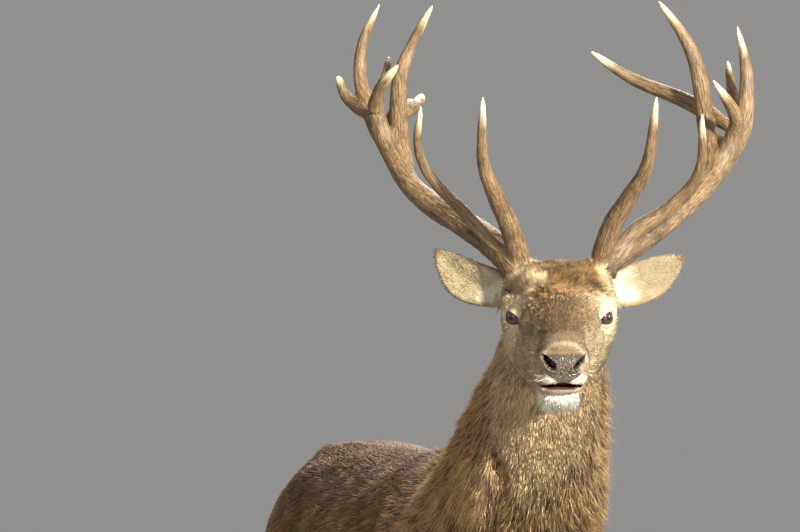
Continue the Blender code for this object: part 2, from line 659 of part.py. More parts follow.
def make_antlers(head):
    for side, sign in (("left", 1), ("right", -1)):
        done = [head]
        for part, (points, start_radius, tip_radius) in ANTLERS[side].items():
            name = f"antler_{side}_{part}"
            made = tine(name, sign, points, start_radius, tip_radius)
            for neighbour in done:
                made = cut_by(made, neighbour)
            made.name = name
            paint(made, "antler")
            done.append(made)
        fork = ANTLER_FRAME @ Vector((0, 0, CROWN_FORK[side]))
        crown = split(bpy.data.objects[f"antler_{side}_beam"], fork, (0, 0, 1))
        crown.name = f"antler_{side}_crown"


# --- materials and the whole ---

FINISHES = {
    "coat": ((0.36, 0.25, 0.15), 0.85),
    "antler": ((0.42, 0.30, 0.19), 0.55),
    "hoof": ((0.06, 0.05, 0.045), 0.45),
    "eye": ((0.05, 0.025, 0.012), 0.06),
}


def paint(obj, finish):
    material = bpy.data.materials.get(finish)
    if material is None:
        material = bpy.data.materials.new(finish)
        material.use_nodes = True
        colour, roughness = FINISHES[finish]
        shader = material.node_tree.nodes["Principled BSDF"]
        shader.inputs["Base Color"].default_value = (*colour, 1)
        shader.inputs["Roughness"].default_value = roughness
        shader.inputs["Metallic"].default_value = 0.0
    obj.data.materials.clear()
    obj.data.materials.append(material)


def centre_on_origin(objects):
    """Puts the middle of the whole object's box over the origin."""
    points = np.vstack([coordinates(o.data) for o in objects])
    middle = (points.min(axis=0) + points.max(axis=0)) / 2
    for obj in objects:
        obj.data.transform(Matrix.Translation((-middle[0], -middle[1], 0)))


def main():
    for obj in list(bpy.data.objects):
        bpy.data.objects.remove(obj)
    body = body_flesh()
    head, neck = part_head_and_neck(body, head_flesh())
    tail = split(body, (0, 0.672, 1.02), (0, 1, 0))
    tail.name = "tail"
    body = part_legs(body)
    body.name = "trunk"
    head, jaw = part_jaw(head)
    head = make_eyes(head)
    make_antlers(head)
    for side in EAR:
        ear(side, head)
    make_hoofs()
    for piece in (body, neck, tail, head, jaw):
        paint(piece, "coat")
    stag = bpy.data.collections.new("red_deer_stag")
    bpy.context.scene.collection.children.link(stag)
    pieces = [o for o in bpy.data.objects if o.type == "MESH"]
    centre_on_origin(pieces)
    for piece in pieces:
        for old in piece.users_collection:
            old.objects.unlink(piece)
        stag.objects.link(piece)


main()
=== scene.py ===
import math
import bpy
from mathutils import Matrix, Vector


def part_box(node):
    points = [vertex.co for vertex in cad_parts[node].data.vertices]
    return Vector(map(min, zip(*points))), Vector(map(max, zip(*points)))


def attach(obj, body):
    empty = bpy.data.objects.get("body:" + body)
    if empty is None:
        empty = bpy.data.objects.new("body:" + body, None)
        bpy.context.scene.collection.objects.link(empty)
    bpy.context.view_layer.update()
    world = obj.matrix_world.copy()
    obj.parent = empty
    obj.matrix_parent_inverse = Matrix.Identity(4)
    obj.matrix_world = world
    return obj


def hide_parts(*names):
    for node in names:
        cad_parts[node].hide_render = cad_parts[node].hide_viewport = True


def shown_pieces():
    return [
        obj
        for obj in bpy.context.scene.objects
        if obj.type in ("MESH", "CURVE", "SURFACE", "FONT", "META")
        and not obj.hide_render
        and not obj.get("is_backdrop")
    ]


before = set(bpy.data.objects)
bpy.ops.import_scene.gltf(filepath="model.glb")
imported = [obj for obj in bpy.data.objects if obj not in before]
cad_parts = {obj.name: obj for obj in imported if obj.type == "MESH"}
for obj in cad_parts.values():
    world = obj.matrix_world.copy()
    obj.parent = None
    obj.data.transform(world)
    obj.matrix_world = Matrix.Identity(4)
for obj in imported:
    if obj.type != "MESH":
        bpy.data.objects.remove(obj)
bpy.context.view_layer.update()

from types import SimpleNamespace

import bmesh
import bpy
import numpy as np
from mathutils import Matrix, Vector, kdtree

# The stag faces -Y, its left side is +X, its soles are at height 0.
# Everything is shaped with the eyes at stagEyes, then moved by toFrame to the frame's place.
# Lists of rows are in millimetres, single lengths and points in metres, angles in degrees.
sides = {"left": 1, "right": -1}
stagEyes = Vector((0.0, -0.87, 1.4375))
eyeBoxes = [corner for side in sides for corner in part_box(f"eye_{side}")]
toFrame = sum(eyeBoxes, Vector()) / 4 - stagEyes
chance = np.random.default_rng(11)

headPose = {"yaw": 14.3, "pitch": 13.0}  # turned to its right, nose down
antlerFrame = Matrix.Translation(stagEyes) @ Matrix.Rotation(math.radians(-headPose["yaw"]), 4, "Z")
headFrame = antlerFrame @ Matrix.Rotation(math.radians(headPose["pitch"]), 4, "X")
headOut = np.array(headFrame)
headIn = np.array(headFrame.inverted())


# small tools for numbers

def ease(low, high, value):
    # 0 at low, 1 at high, smooth between
    t = np.clip((value - low) / (high - low), 0, 1)
    return t * t * (3 - 2 * t)


def bell(value, width):
    return np.exp(-((value / width) ** 2))


def hill(points, centre, radii):
    return np.exp(-(((points - np.array(centre)) / np.array(radii)) ** 2).sum(axis=1))


def unit(vectors):
    return vectors / np.maximum(np.linalg.norm(vectors, axis=-1, keepdims=True), 1e-9)


def mirrored(point, sign):
    return np.array(point) * (sign, 1, 1)


def fromLine(points, start, end):
    # distance from a straight line between two points
    start, run = np.array(start), np.array(end) - np.array(start)
    share = np.clip((points - start) @ run / (run @ run), 0, 1)
    return np.linalg.norm(points - start - share[:, None] * run, axis=1)


def patches(points, size, seed=0):
    # smooth random patches of this size, -1 to 1
    grid = points / size + 31.7 * seed + 500
    cell = np.floor(grid).astype(np.int64)
    part = ease(0, 1, grid - cell)
    total = np.zeros(len(points))
    for corner in np.ndindex(2, 2, 2):
        mixed = np.bitwise_xor.reduce((cell + corner) * (73856093, 19349663, 83492791), axis=1)
        mixed = (mixed ^ (mixed >> 13)) * 1274126177
        value = ((mixed ^ (mixed >> 16)) & 0xFFFF) / 65535
        total += np.prod(np.where(corner, part, 1 - part), axis=1) * value
    return total * 2 - 1


def smoothRows(rows, steps, plain=0):
    # a smooth run through rows in millimetres, as metres; the last plain columns have no unit
    table = np.array(rows, float)
    table[:, : table.shape[1] - plain] /= 1000
    ends = np.vstack([2 * table[0] - table[1], table, 2 * table[-1] - table[-2]])
    out = []
    for a, b, c, d in zip(ends, ends[1:], ends[2:], ends[3:]):
        for t in np.linspace(0, 1, steps, endpoint=False):
            out.append(0.5 * (2 * b + (c - a) * t + (2 * a - 5 * b + 4 * c - d) * t**2
                              + (3 * b - a - 3 * c + d) * t**3))
    return np.array([*out, ends[-2]])


def laid(base, layers):
    # blends values over one another, each by its mask
    for value, mask in layers:
        share = np.clip(mask, 0, 1).reshape(-1, *[1] * (base.ndim - 1))
        base = base + share * (np.array(value) - base)
    return base


def linear(colours):
    # colours on the 0 to 255 scale of a screen, as light
    c = np.array(colours) / 255
    return np.where(c <= 0.04045, c / 12.92, ((c + 0.055) / 1.055) ** 2.4)


def paint(shade):
    return (*linear(shade), 1)


def keepHue(colours, most):
    # darkens what is brighter than most, with its hue unchanged
    return colours * (most / np.maximum(colours.max(axis=-1, keepdims=True), most))


# small tools for meshes

def placed(name, data):
    made = bpy.data.objects.new(name, data)
    bpy.context.scene.collection.objects.link(made)
    return made


def edited(mesh, change):
    edit = bmesh.new()
    edit.from_mesh(mesh)
    change(edit)
    edit.to_mesh(mesh)
    edit.free()


def meshObject(name, points, faces):
    mesh = bpy.data.meshes.new(name)
    mesh.from_pydata([tuple(p) for p in points], [], faces)
    mesh.update()
    return placed(name, mesh)


def section(centre, side, up, halfWidth, rise, drop, topPower, lowPower, count):
    angles = np.arange(count) * 2 * math.pi / count
    c, s = np.cos(angles), np.sin(angles)
    power = np.where(s >= 0, topPower, lowPower)
    across = halfWidth * np.sign(c) * np.abs(c) ** (2 / power)
    height = np.where(s >= 0, rise, drop) * np.sign(s) * np.abs(s) ** (2 / power)
    return np.array(centre) + np.outer(across, side) + np.outer(height, up)


def gridFaces(rows, count, closed=True):
    return [(i * count + j, i * count + (j + 1) % count, (i + 1) * count + (j + 1) % count, (i + 1) * count + j)
            for i in range(rows - 1) for j in range(count if closed else count - 1)]


def loft(name, rings):
    count = len(rings[0])
    faces = gridFaces(len(rings), count)
    faces += [tuple(reversed(range(count))), tuple((len(rings) - 1) * count + j for j in range(count))]
    made = meshObject(name, np.vstack(rings), faces)
    edited(made.data, lambda tube: bmesh.ops.recalc_face_normals(tube, faces=tube.faces))
    return made


def evaluated(obj):
    graph = bpy.context.evaluated_depsgraph_get()
    made = placed(obj.name, bpy.data.meshes.new_from_object(obj.evaluated_get(graph)))
    bpy.data.objects.remove(obj)
    return made


def joined(objects, name):
    whole = bmesh.new()
    for obj in objects:
        whole.from_mesh(obj.data)
        bpy.data.objects.remove(obj)
    mesh = bpy.data.meshes.new(name)
    whole.to_mesh(mesh)
    whole.free()
    return placed(name, mesh)


def remeshed(obj, voxel, smoothing):
    remesh = obj.modifiers.new("join", "REMESH")
    remesh.mode, remesh.voxel_size = "VOXEL", voxel
    soften = obj.modifiers.new("soften", "SMOOTH")
    soften.factor, soften.iterations = 0.5, smoothing
    return evaluated(obj)


def pointsOf(mesh, kind="co"):
    out = np.empty(len(mesh.vertices) * 3, np.float32)
    mesh.vertices.foreach_get(kind, out)
    return out.reshape(-1, 3).astype(float)


def setPoints(mesh, points):
    mesh.vertices.foreach_set("co", points.astype(np.float32).ravel())
    mesh.update()


def setAttribute(mesh, name, kind, values):
    layer = mesh.attributes.new(name, kind, "POINT")
    field = {"FLOAT": "value", "FLOAT_VECTOR": "vector", "FLOAT_COLOR": "color"}[kind]
    layer.data.foreach_set(field, np.asarray(values, np.float32).ravel())


def shadeSmooth(mesh):
    mesh.polygons.foreach_set("use_smooth", np.ones(len(mesh.polygons), bool))
    mesh.update()


def finishPiece(obj, slotName, *nodes):
    # moves a shaped piece into the frame and lets it ride there
    obj.data.transform(Matrix.Translation(toFrame))
    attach(obj, "root")
    if nodes:
        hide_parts(*nodes)
    return obj


class Look:
    # a material, with short ways to add its nodes; each gives back a socket

    def __init__(self, name):
        self.material = bpy.data.materials.new(name)
        self.material.use_nodes = True
        self.tree = self.material.node_tree

    def feed(self, target, inputs):
        for key, value in inputs.items():
            if isinstance(value, bpy.types.NodeSocket):
                self.tree.links.new(value, target.inputs[key])
            else:
                target.inputs[key].default_value = value

    def node(self, kind, inputs, output=0, **settings):
        made = self.tree.nodes.new("ShaderNode" + kind)
        for key, value in settings.items():
            setattr(made, key, value)
        self.feed(made, inputs)
        return made.outputs[output]

    def place(self):
        return self.node("TexCoord", {}, "Object")

    def attribute(self, name, output="Fac"):
        return self.node("Attribute", {}, output, attribute_name=name)

    def noise(self, vector, scale, detail, roughness=0.5):
        return self.node("TexNoise", {"Vector": vector, "Scale": scale, "Detail": detail, "Roughness": roughness})

    def cells(self, vector, scale):
        return self.node("TexVoronoi", {"Vector": vector, "Scale": scale}, "Distance", feature="SMOOTH_F1")

    def spread(self, value, low, high, start, end, **settings):
        return self.node("MapRange", {"Value": value, 1: low, 2: high, 3: start, 4: end}, **settings)

    def maths(self, operation, *values):
        return self.node("Math", dict(enumerate(values)), operation=operation)

    def scaled(self, colour, by):
        return self.node("VectorMath", {0: colour, "Scale": by}, operation="SCALE")

    def mix(self, share, first, second, kind="RGBA"):
        at, output = {"FLOAT": (2, 0), "RGBA": (6, 2)}[kind]
        return self.node("Mix", {"Factor": share, at: first, at + 1: second}, output, data_type=kind)

    def bump(self, height, strength, distance, **below):
        return self.node("Bump", {"Strength": strength, "Distance": distance, "Height": height, **below}, "Normal")

    def ramp(self, value, stops, shades):
        colour = self.node("ValToRGB", {"Fac": value}, "Color")
        marks = colour.node.color_ramp.elements
        marks[0].position, marks[1].position = stops[0][0], stops[-1][0]
        for place, _ in stops[1:-1]:
            marks.new(place)
        for mark, (_, name) in zip(marks, stops):
            mark.color = paint(shades[name])
        return colour

    def finish(self, inputs):
        self.feed(self.tree.nodes["Principled BSDF"], inputs)
        return self.material


# the flesh: lengths of the body and how square their sections are

body = {
    "voxel": 0.0075,
    "smoothing": 22,
    "legSquare": 2.1,
    # y, height of the widest level, half width, rise, drop, squareness above and below
    "trunk": [
        (-650, 960, 45, 60, 60, 2, 2), (-610, 960, 110, 110, 150, 2, 2), (-530, 945, 165, 190, 245, 1.9, 2),
        (-400, 920, 205, 285, 270, 1.7, 2), (-260, 900, 228, 318, 262, 1.7, 2.1),
        (-80, 890, 243, 312, 248, 1.9, 2.2), (100, 900, 243, 305, 234, 2, 2.2), (260, 920, 225, 297, 202, 2.1, 2.2),
        (400, 950, 220, 272, 190, 2.25, 2.1), (520, 970, 202, 236, 180, 2.2, 2), (610, 980, 162, 185, 160, 2.2, 2),
        (670, 980, 100, 115, 120, 2, 2),
    ],
    # x, y, z of the axis, half width, rise, drop, squareness above and below
    "neck": [
        (0, -280, 965, 170, 250, 250, 1.5, 2), (0, -430, 1030, 180, 195, 240, 1.5, 2),
        (9, -555, 1130, 166, 152, 212, 1.5, 2), (17, -645, 1245, 138, 122, 168, 1.6, 2),
        (27, -700, 1350, 111, 92, 128, 1.7, 2), (31, -745, 1440, 89, 74, 95, 1.8, 2),
    ],
    "tail": [
        (0, 625, 1110, 34, 26, 26, 2, 2), (0, 672, 1080, 36, 26, 26, 2, 2), (0, 700, 1015, 34, 24, 24, 2, 2),
        (0, 706, 955, 24, 18, 18, 2, 2), (0, 706, 915, 8, 6, 6, 2, 2),
    ],
    "sheath": [
        (0, 290, 706, 22, 24, 20, 2, 2), (0, 220, 684, 26, 26, 26, 2, 2), (0, 135, 664, 24, 24, 24, 2, 2),
        (0, 85, 656, 10, 10, 12, 2, 2),
    ],
    # height, y and x of the centre, half width, front and back depth
    "foreleg": [
        (1040, -385, 105, 55, 80, 100), (940, -415, 115, 80, 125, 130), (840, -410, 118, 80, 118, 115),
        (760, -395, 118, 68, 90, 98), (690, -385, 115, 55, 66, 80), (610, -385, 111, 43, 50, 55),
        (530, -388, 107, 34, 39, 38), (465, -391, 104, 30, 33, 32), (420, -394, 103, 33, 34, 33),
        (380, -391, 102, 29, 30, 31), (330, -388, 102, 22, 22.5, 26), (240, -388, 101, 20, 20.5, 24.5),
        (170, -388, 100, 22, 22, 27), (135, -390, 100, 27.5, 25.5, 33), (95, -400, 100, 25, 25, 27),
        (66, -412, 100, 30, 29, 29), (45, -418, 100, 30, 29, 29),
    ],
    "hindleg": [
        (1090, 440, 100, 60, 120, 140), (1000, 450, 112, 92, 170, 200), (900, 445, 120, 96, 175, 205),
        (810, 435, 124, 88, 150, 175), (740, 432, 124, 73, 118, 136), (670, 452, 121, 56, 90, 100),
        (600, 490, 117, 43, 65, 72), (540, 532, 114, 33, 47, 58), (495, 562, 112, 29, 42, 52),
        (455, 578, 111, 30, 41, 37), (410, 584, 110, 27, 32, 29), (360, 585, 110, 22.5, 23.5, 25.5),
        (260, 580, 109, 20.5, 21.5, 24.5), (180, 576, 108, 22, 22, 27), (140, 572, 108, 27.5, 26, 33),
        (100, 560, 108, 25, 25, 27), (66, 546, 108, 30, 29, 29), (45, 540, 108, 30, 29, 29),
    ],
    # kind, sign of x, height where the leg starts to swing, swing of the hoof along y
    "legs": {
        "foreleg_left": ("foreleg", 1, 0.80, -0.045), "foreleg_right": ("foreleg", -1, 0.80, 0.035),
        "hindleg_left": ("hindleg", 1, 0.90, 0.045), "hindleg_right": ("hindleg", -1, 0.90, -0.085),
    },
    # muscle and bone under the coat, left side: centre, radii, push
    "forms": [
        ((175, -430, 1060), (50, 60, 140), (10, 0, 0)),  # shoulder blade
        ((130, -600, 900), (60, 60, 70), (8, -10, 0)),  # point of the shoulder
        ((205, -330, 860), (50, 60, 100), (10, 0, 0)),  # upper arm
        ((225, -220, 860), (60, 45, 150), (-14, 0, 0)),  # hollow behind the shoulder
        ((225, 270, 980), (60, 60, 90), (-20, 0, 0)),  # flank
        ((150, 360, 1140), (40, 60, 50), (8, 0, 4)),  # hip bone
        ((72, 540, 1190), (36, 100, 60), (0, 0, 21)),  # croup
        ((0, 540, 1200), (50, 100, 60), (0, 0, 3)),  # between the hips
        ((200, 500, 930), (60, 110, 160), (10, 0, 0)),  # thigh
        ((150, 310, 800), (50, 50, 60), (6, -8, 0)),  # stifle
        ((200, 590, 850), (50, 30, 140), (-10, 0, 0)),  # groove of the hamstring
        ((130, -290, 745), (40, 40, 40), (4, 8, 0)),  # elbow
    ],
    # height and place of the crease between the throat and the mane
    "fold": [(950, 104), (1040, 113), (1090, 118), (1150, 122), (1190, 110), (1240, 100)],
    # the dark line under the chin is painted shade
    "crease": (0.2142, (1.205, 1.225), (1.300, 1.280)),  # under the chin: place, heights where it starts and ends
    "foldDepth": (0.006, 0.014, 0.0),
    "mane": ((-0.135, -0.700, 1.120), (0.050, 0.060, 0.085), (-0.008, -0.012, 0.0)),
}

head = {
    "coarse": 0.0042,
    "voxel": 0.0023,
    # y in the head's frame, height, half width, rise, drop, squareness above and below
    "lengths": [
        (170, -15, 50, 45, 50, 2, 2), (140, -10, 80, 69, 95, 2.1, 2), (100, 0, 94, 80, 130, 2.4, 2),
        (55, 6, 100, 77, 155, 2.5, 1.9), (20, 4, 105, 80, 158, 2.4, 1.8), (-15, 0, 95, 76, 150, 2.3, 1.8),
        (-50, -18, 77, 74, 120, 2.2, 1.8), (-95, -30, 62, 66, 94, 2.1, 1.9), (-140, -37, 53, 60, 84, 2.1, 2.1),
        (-180, -41, 48.5, 52, 84, 2.2, 2.3), (-210, -43, 46.5, 45, 84, 2.3, 2.4), (-235, -44, 40, 34, 72, 2.3, 2.3),
        (-250, -45, 27, 22, 42, 2.2, 2.2),
    ],
    # left side: centre, radii, push (out, back, up)
    "forms": [
        ((88, -4, 27), (24, 26, 11), (8, -5, 3)),  # brow
        ((64, -48, -14), (14, 22, 10), (-8, 4, 0)),  # tear pit
        ((86, -22, -30), (18, 40, 11), (7, -2, 0)),  # cheek bone
        ((58, -95, -62), (20, 34, 22), (-7, 0, 0)),  # cheek hollow
        ((86, 40, -80), (30, 35, 40), (6, 0, 0)),  # jaw muscle
        ((70, 62, 80), (33, 34, 42), (6, 0, 20)),  # foot of the antler
        ((33, -230, -24), (13, 15, 16), (7, -4, 1)),  # nostril wing
        ((22, -228, -64), (18, 16, 9), (4, -5, 0)),  # upper lip
        ((19, -214, -108), (20, 22, 18), (6, -6, -6)),  # chin
        ((92, 60, 35), (16, 24, 20), (-5, 0, 0)),  # temple
        ((0, -20, 70), (20, 40, 20), (0, 0, -3)),  # dip of the brow
        ((26, -150, 8), (10, 60, 12), (2, 0, 1)),  # edge of the bridge
    ],
    "mouthBack": (-0.120, -0.0625),  # y and height where the lips part, from here forwards
    "jawTilt": 2.0,
    "lipsFrom": -0.150,
    "lipsOpen": 6.0,
    "lipBow": 5.0,
    "mouthHalf": 0.040,
    "wedge": (-0.150, -0.185, -0.22, -0.275),  # y of the cut that opens the mouth
    "gums": [(-125, 36), (-170, 35), (-200, 34), (-218, 28), (-226, 16)],  # y, half width
    "gumDepth": 0.010,
    "lipGroove": 0.0022,
    "chewing": -0.0075,  # how far the chin is slewed to the right
    "cutPoint": (0.0, 0.135, -0.068),  # where the finer head meets the body
    "cutNormal": (0.0, -0.90, 0.43),
}

ears = {
    "left": {"root": (0.080, 0.088, 0.018), "tip": (0.226, 0.130, 0.082), "facing": (-0.30, -1.0, 0.10)},
    "right": {"root": (0.080, 0.088, 0.016), "tip": (0.219, 0.130, 0.096), "facing": (-0.30, -1.0, 0.10)},
    "bow": {"left": 0.0075, "right": 0.0165},  # how far the middle hangs under the line from root to tip
    # half width, opening in degrees
    "edges": [(21, 74), (30, 70), (36, 66), (38, 60), (36.5, 54), (31, 46), (20, 36), (4, 26)],
    "crossways": 19,
    "thickness": 0.0056,
}

eyes = {
    "place": (0.0735, -0.002, 0.0),
    "radius": 0.0205,
    "outwards": (0.743, -0.669, 0.04),  # middle of the lids' opening, left side
    "inwards": (-0.643, -0.766, -0.24),  # towards the tear duct
    "halfLength": 56.0,  # degrees of the eyeball between the lids' middle and a corner
    "upper": 28.0,
    "lower": 24.5,
    "lid": 0.0018,
    "sunk": 0.0035,  # how far the skin lies behind the eyeball's front
    "fine": 0.036,  # reach of the finer skin
}

nose = {
    "nostril": (0.0268, -0.246, -0.0300), "long": 0.0156, "wide": {1: 0.0034, -1: 0.0068},
    "slant": 48.0, "depth": 0.017, "rim": 0.0016, "fine": 0.024,
    # height in the head's frame and half width of the bare pad
    "pad": [
        (-72, 8), (-65.5, 9.8), (-60, 16), (-56.5, 22.5), (-53, 27.5), (-50, 30), (-46, 32.5), (-39, 34.5),
        (-32, 36.5), (-25, 37), (-18, 33.5), (-13, 27),
    ],
}


def chewing(local):
    # the lower jaw is slewed sideways
    share = ease(-0.056, -0.094, local[:, 2]) * ease(-0.08, -0.17, local[:, 1])
    return share[:, None] * (head["chewing"], 0, 0)


def toHead(points):
    local = points @ headIn[:3, :3].T + headIn[:3, 3]
    return local - chewing(local)


def fromHead(local):
    return (local + chewing(local)) @ headOut[:3, :3].T + headOut[:3, 3]


def pastCut(local):
    return (local - np.array(head["cutPoint"])) @ np.array(head["cutNormal"])


def axes(side):
    # root, length, along, open side and crossways of an ear, in the head's frame
    sign = sides[side]
    root, tip, facing = (Vector((sign * v[0], v[1], v[2])) for v in ears[side].values())
    along = (tip - root).normalized()
    front = (facing - along * facing.dot(along)).normalized()
    return root, (tip - root).length, along, front, along.cross(front) * sign


def earBow(side, share):
    return ears["bow"][side] * np.sin(np.pi * np.clip(share, 0, 1) ** 1.3)


def levelLoft(name, rows, matrix, steps=4, count=32):
    return loft(name, [
        [matrix @ Vector(p) for p in section((0, y, z), (1, 0, 0), (0, 0, 1), *sizes, count)]
        for y, z, *sizes in smoothRows(rows, steps, 2)
    ])


def pathLoft(name, rows, steps=4, count=28):
    table = smoothRows(rows, steps, 2)
    dorsal = Vector((0, 0.7, 0.7))
    rings = []
    for i, (x, y, z, *sizes) in enumerate(table):
        ahead, behind = table[min(i + 1, len(table) - 1)][:3], table[max(i - 1, 0)][:3]
        along = Vector(ahead - behind).normalized()
        up = (dorsal - along * dorsal.dot(along)).normalized()
        rings.append(section((x, y, z), up.cross(along), up, *sizes, count))
    return loft(name, rings)


def legCentre(name, row):
    _, sign, pivot, swing = body["legs"][name]
    z, y, x = row[:3]
    return (sign * x, y + swing * max(0.0, (pivot - z) / pivot), z)


def legLoft(name):
    rows, square = smoothRows(body[body["legs"][name][0]], 4), body["legSquare"]
    return loft(name, [section(legCentre(name, row), (1, 0, 0), (0, -1, 0), *row[3:], square, square, 24)
                       for row in rows])


def earShell(side):
    root, length, along, front, across = axes(side)
    rows = smoothRows(ears["edges"], 4, 1)
    crossways, last = ears["crossways"], len(rows) - 1
    points = []
    for i, (width, opening) in enumerate(rows):
        middle = root + along * length * (i / last) + across * float(earBow(side, i / last))
        radius = width / math.sin(math.radians(min(opening, 90)))
        for j in range(crossways):
            angle = math.radians(opening) * (2 * j / (crossways - 1) - 1)
            rim = across * radius * math.sin(angle) + front * radius * (1 - math.cos(angle))
            fold = 0.0022 * math.cos(angle * 7) * math.sin(math.pi * i / last)
            points.append(headFrame @ (middle + rim - front * (0.3 * radius + fold)))
    made = meshObject(f"ear{side}", points, gridFaces(len(rows), crossways, False))
    shell = made.modifiers.new("thickness", "SOLIDIFY")
    shell.thickness, shell.offset = ears["thickness"], 0
    return evaluated(made)


def lipLevels(y, x):
    # heights of the upper and the lower lip in the head's frame; they part most in the middle
    back, level = head["mouthBack"]
    upper = level - math.tan(math.radians(head["jawTilt"])) * (back - y) - head["lipBow"] * x**2
    gap = math.tan(math.radians(head["lipsOpen"])) * np.maximum(head["lipsFrom"] - y, 0)
    return upper, upper - gap * np.clip(1 - (x / head["mouthHalf"]) ** 2, 0, 1) ** 0.6


def openMouth(coarse):
    edge = np.array(head["wedge"])
    rings = []
    for x in np.linspace(-0.06, 0.06, 25):
        upper, lower = lipLevels(edge, x)
        ring = list(zip(edge, upper + 0.0002)) + list(zip(edge, lower - 0.0002))[::-1]
        rings.append([headFrame @ Vector((x, y, z)) for y, z in ring])
    wedge = loft("wedge", rings)
    cut = coarse.modifiers.new("mouth", "BOOLEAN")
    cut.object, cut.operation, cut.solver = wedge, "DIFFERENCE", "EXACT"
    made = evaluated(coarse)
    bpy.data.objects.remove(wedge)
    gums = []
    for y, halfWidth in np.array(head["gums"]) / 1000:
        middle, depth = sum(lipLevels(y, 0.0)) / 2 - 0.001, head["gumDepth"]
        ring = section((0, y, middle), (1, 0, 0), (0, 0, 1), halfWidth, depth, depth, 2.5, 2.5, 20)
        gums.append([headFrame @ Vector(p) for p in ring])
    return [made, loft("gums", gums)]


def pushForms(points, local, forms):
    moved = np.zeros_like(points)
    for centre, radii, push in np.array(forms) / 1000:
        for sign in sides.values():
            moved += hill(local, mirrored(centre, sign), radii)[:, None] * mirrored(push, sign)
    return moved


def openAt(obj, point, normal, keepFront):
    # cuts a mesh at a plane and leaves the cut open
    edited(obj.data, lambda cut: bmesh.ops.bisect_plane(
        cut, geom=cut.verts[:] + cut.edges[:] + cut.faces[:], plane_co=point, plane_no=normal,
        clear_inner=keepFront, clear_outer=not keepFront))


def lidField(local, sign):
    # how far inside the lids' opening a point is, in degrees, with its distance and angle from the eye
    n = unit(mirrored(eyes["outwards"], sign))
    u = mirrored(eyes["inwards"], sign)
    u = unit(u - n * (u @ n))
    v = np.cross(n, u)
    v = v if v[2] > 0 else -v
    ray = local - mirrored(eyes["place"], sign)
    distance = np.linalg.norm(ray, axis=1)
    ray = ray / np.maximum(distance, 1e-6)[:, None]
    a = np.degrees(np.arctan2(ray @ u, ray @ n))
    b = np.degrees(np.arcsin(np.clip(ray @ v, -1, 1)))
    share = np.clip(1 - (a / eyes["halfLength"]) ** 2, 0, 1) ** 0.75
    inside = np.minimum(eyes["upper"] * share - b, b + eyes["lower"] * share)
    past = np.abs(a) - eyes["halfLength"]
    inside = np.where(past > 0, -np.hypot(past, b), inside)
    return inside, distance, np.degrees(np.arccos(np.clip(ray @ n, -1, 1))), ray


def shapeLids(local):
    for sign in sides.values():
        inside, distance, away, ray = lidField(local, sign)
        near = ease(76, 54, away) * (distance < 0.06)
        crease = 0.0009 * bell(inside + 9, 2.2)
        out = distance + near * (eyes["radius"] + eyes["lid"] - crease - distance)
        out = out + ease(-1.0, 3.2, inside) * (distance < 0.06) * (eyes["radius"] - eyes["sunk"] - out)
        local = np.where((near > 0)[:, None], mirrored(eyes["place"], sign) + ray * out[:, None], local)
    return local


def nostrilRing(local, sign):
    # 1 on the rim of a nostril, a slanting drop, and 0 in its middle
    out, up = local[:, 0] * sign - nose["nostril"][0], local[:, 2] - nose["nostril"][2]
    slant = math.radians(nose["slant"])
    lengthways = (out * math.cos(slant) + up * math.sin(slant)) / nose["long"]
    wide = nose["wide"][sign] * (1 - 0.30 * np.clip(lengthways, -1, 1))
    return np.hypot(lengthways, (up * math.cos(slant) - out * math.sin(slant)) / wide)


def shapeNostrils(local):
    for sign in sides.values():
        ring = nostrilRing(local, sign)
        front = ease(-0.205, -0.225, local[:, 1])
        push = ease(1.1, 0.72, ring) * front * nose["depth"]
        rim = bell(ring - 1.25, 0.22) * front * nose["rim"]
        local = local + np.stack([-0.25 * sign * push + sign * rim * 0.4, push - rim, 0.15 * push], axis=1)
    return local


def throatPlace(x, y):
    # how far out a point is, seen along the throat
    return 0.966 * x - 0.259 * y


def foldField(points, width):
    # 1 along the crease between the throat and the mane on the right side
    x, y, z = points.T
    near = bell(throatPlace(x, y) - np.interp(z, *np.array(body["fold"]).T / 1000), width)
    return near * ease(-0.60, -0.66, y) * ease(0.96, 1.04, z) * ease(1.215, 1.17, z)


def mend(skin, point, normal):
    # joins the head to the body and refines the skin around the eyes and nostrils
    bmesh.ops.bridge_loops(skin, edges=[e for e in skin.edges if e.is_boundary])
    seam = [v for v in skin.verts if abs((v.co - point).dot(normal)) < 0.020 and v.co.z > 1.1]
    for _ in range(10):
        bmesh.ops.smooth_vert(skin, verts=seam, factor=0.5, use_axis_x=True, use_axis_y=True, use_axis_z=True)
    for place, reach in ((eyes["place"], eyes["fine"]), (nose["nostril"], nose["fine"])):
        for sign in sides.values():
            centre = headFrame @ Vector(mirrored(place, sign))
            near = {v for v in skin.verts if (v.co - centre).length < reach}
            edges = {e for v in near for e in v.link_edges if e.verts[0] in near and e.verts[1] in near}
            bmesh.ops.subdivide_edges(skin, edges=list(edges), cuts=1, use_grid_fill=True)
    bmesh.ops.triangulate(skin, faces=[f for f in skin.faces if len(f.verts) > 4])
    bmesh.ops.recalc_face_normals(skin, faces=skin.faces)


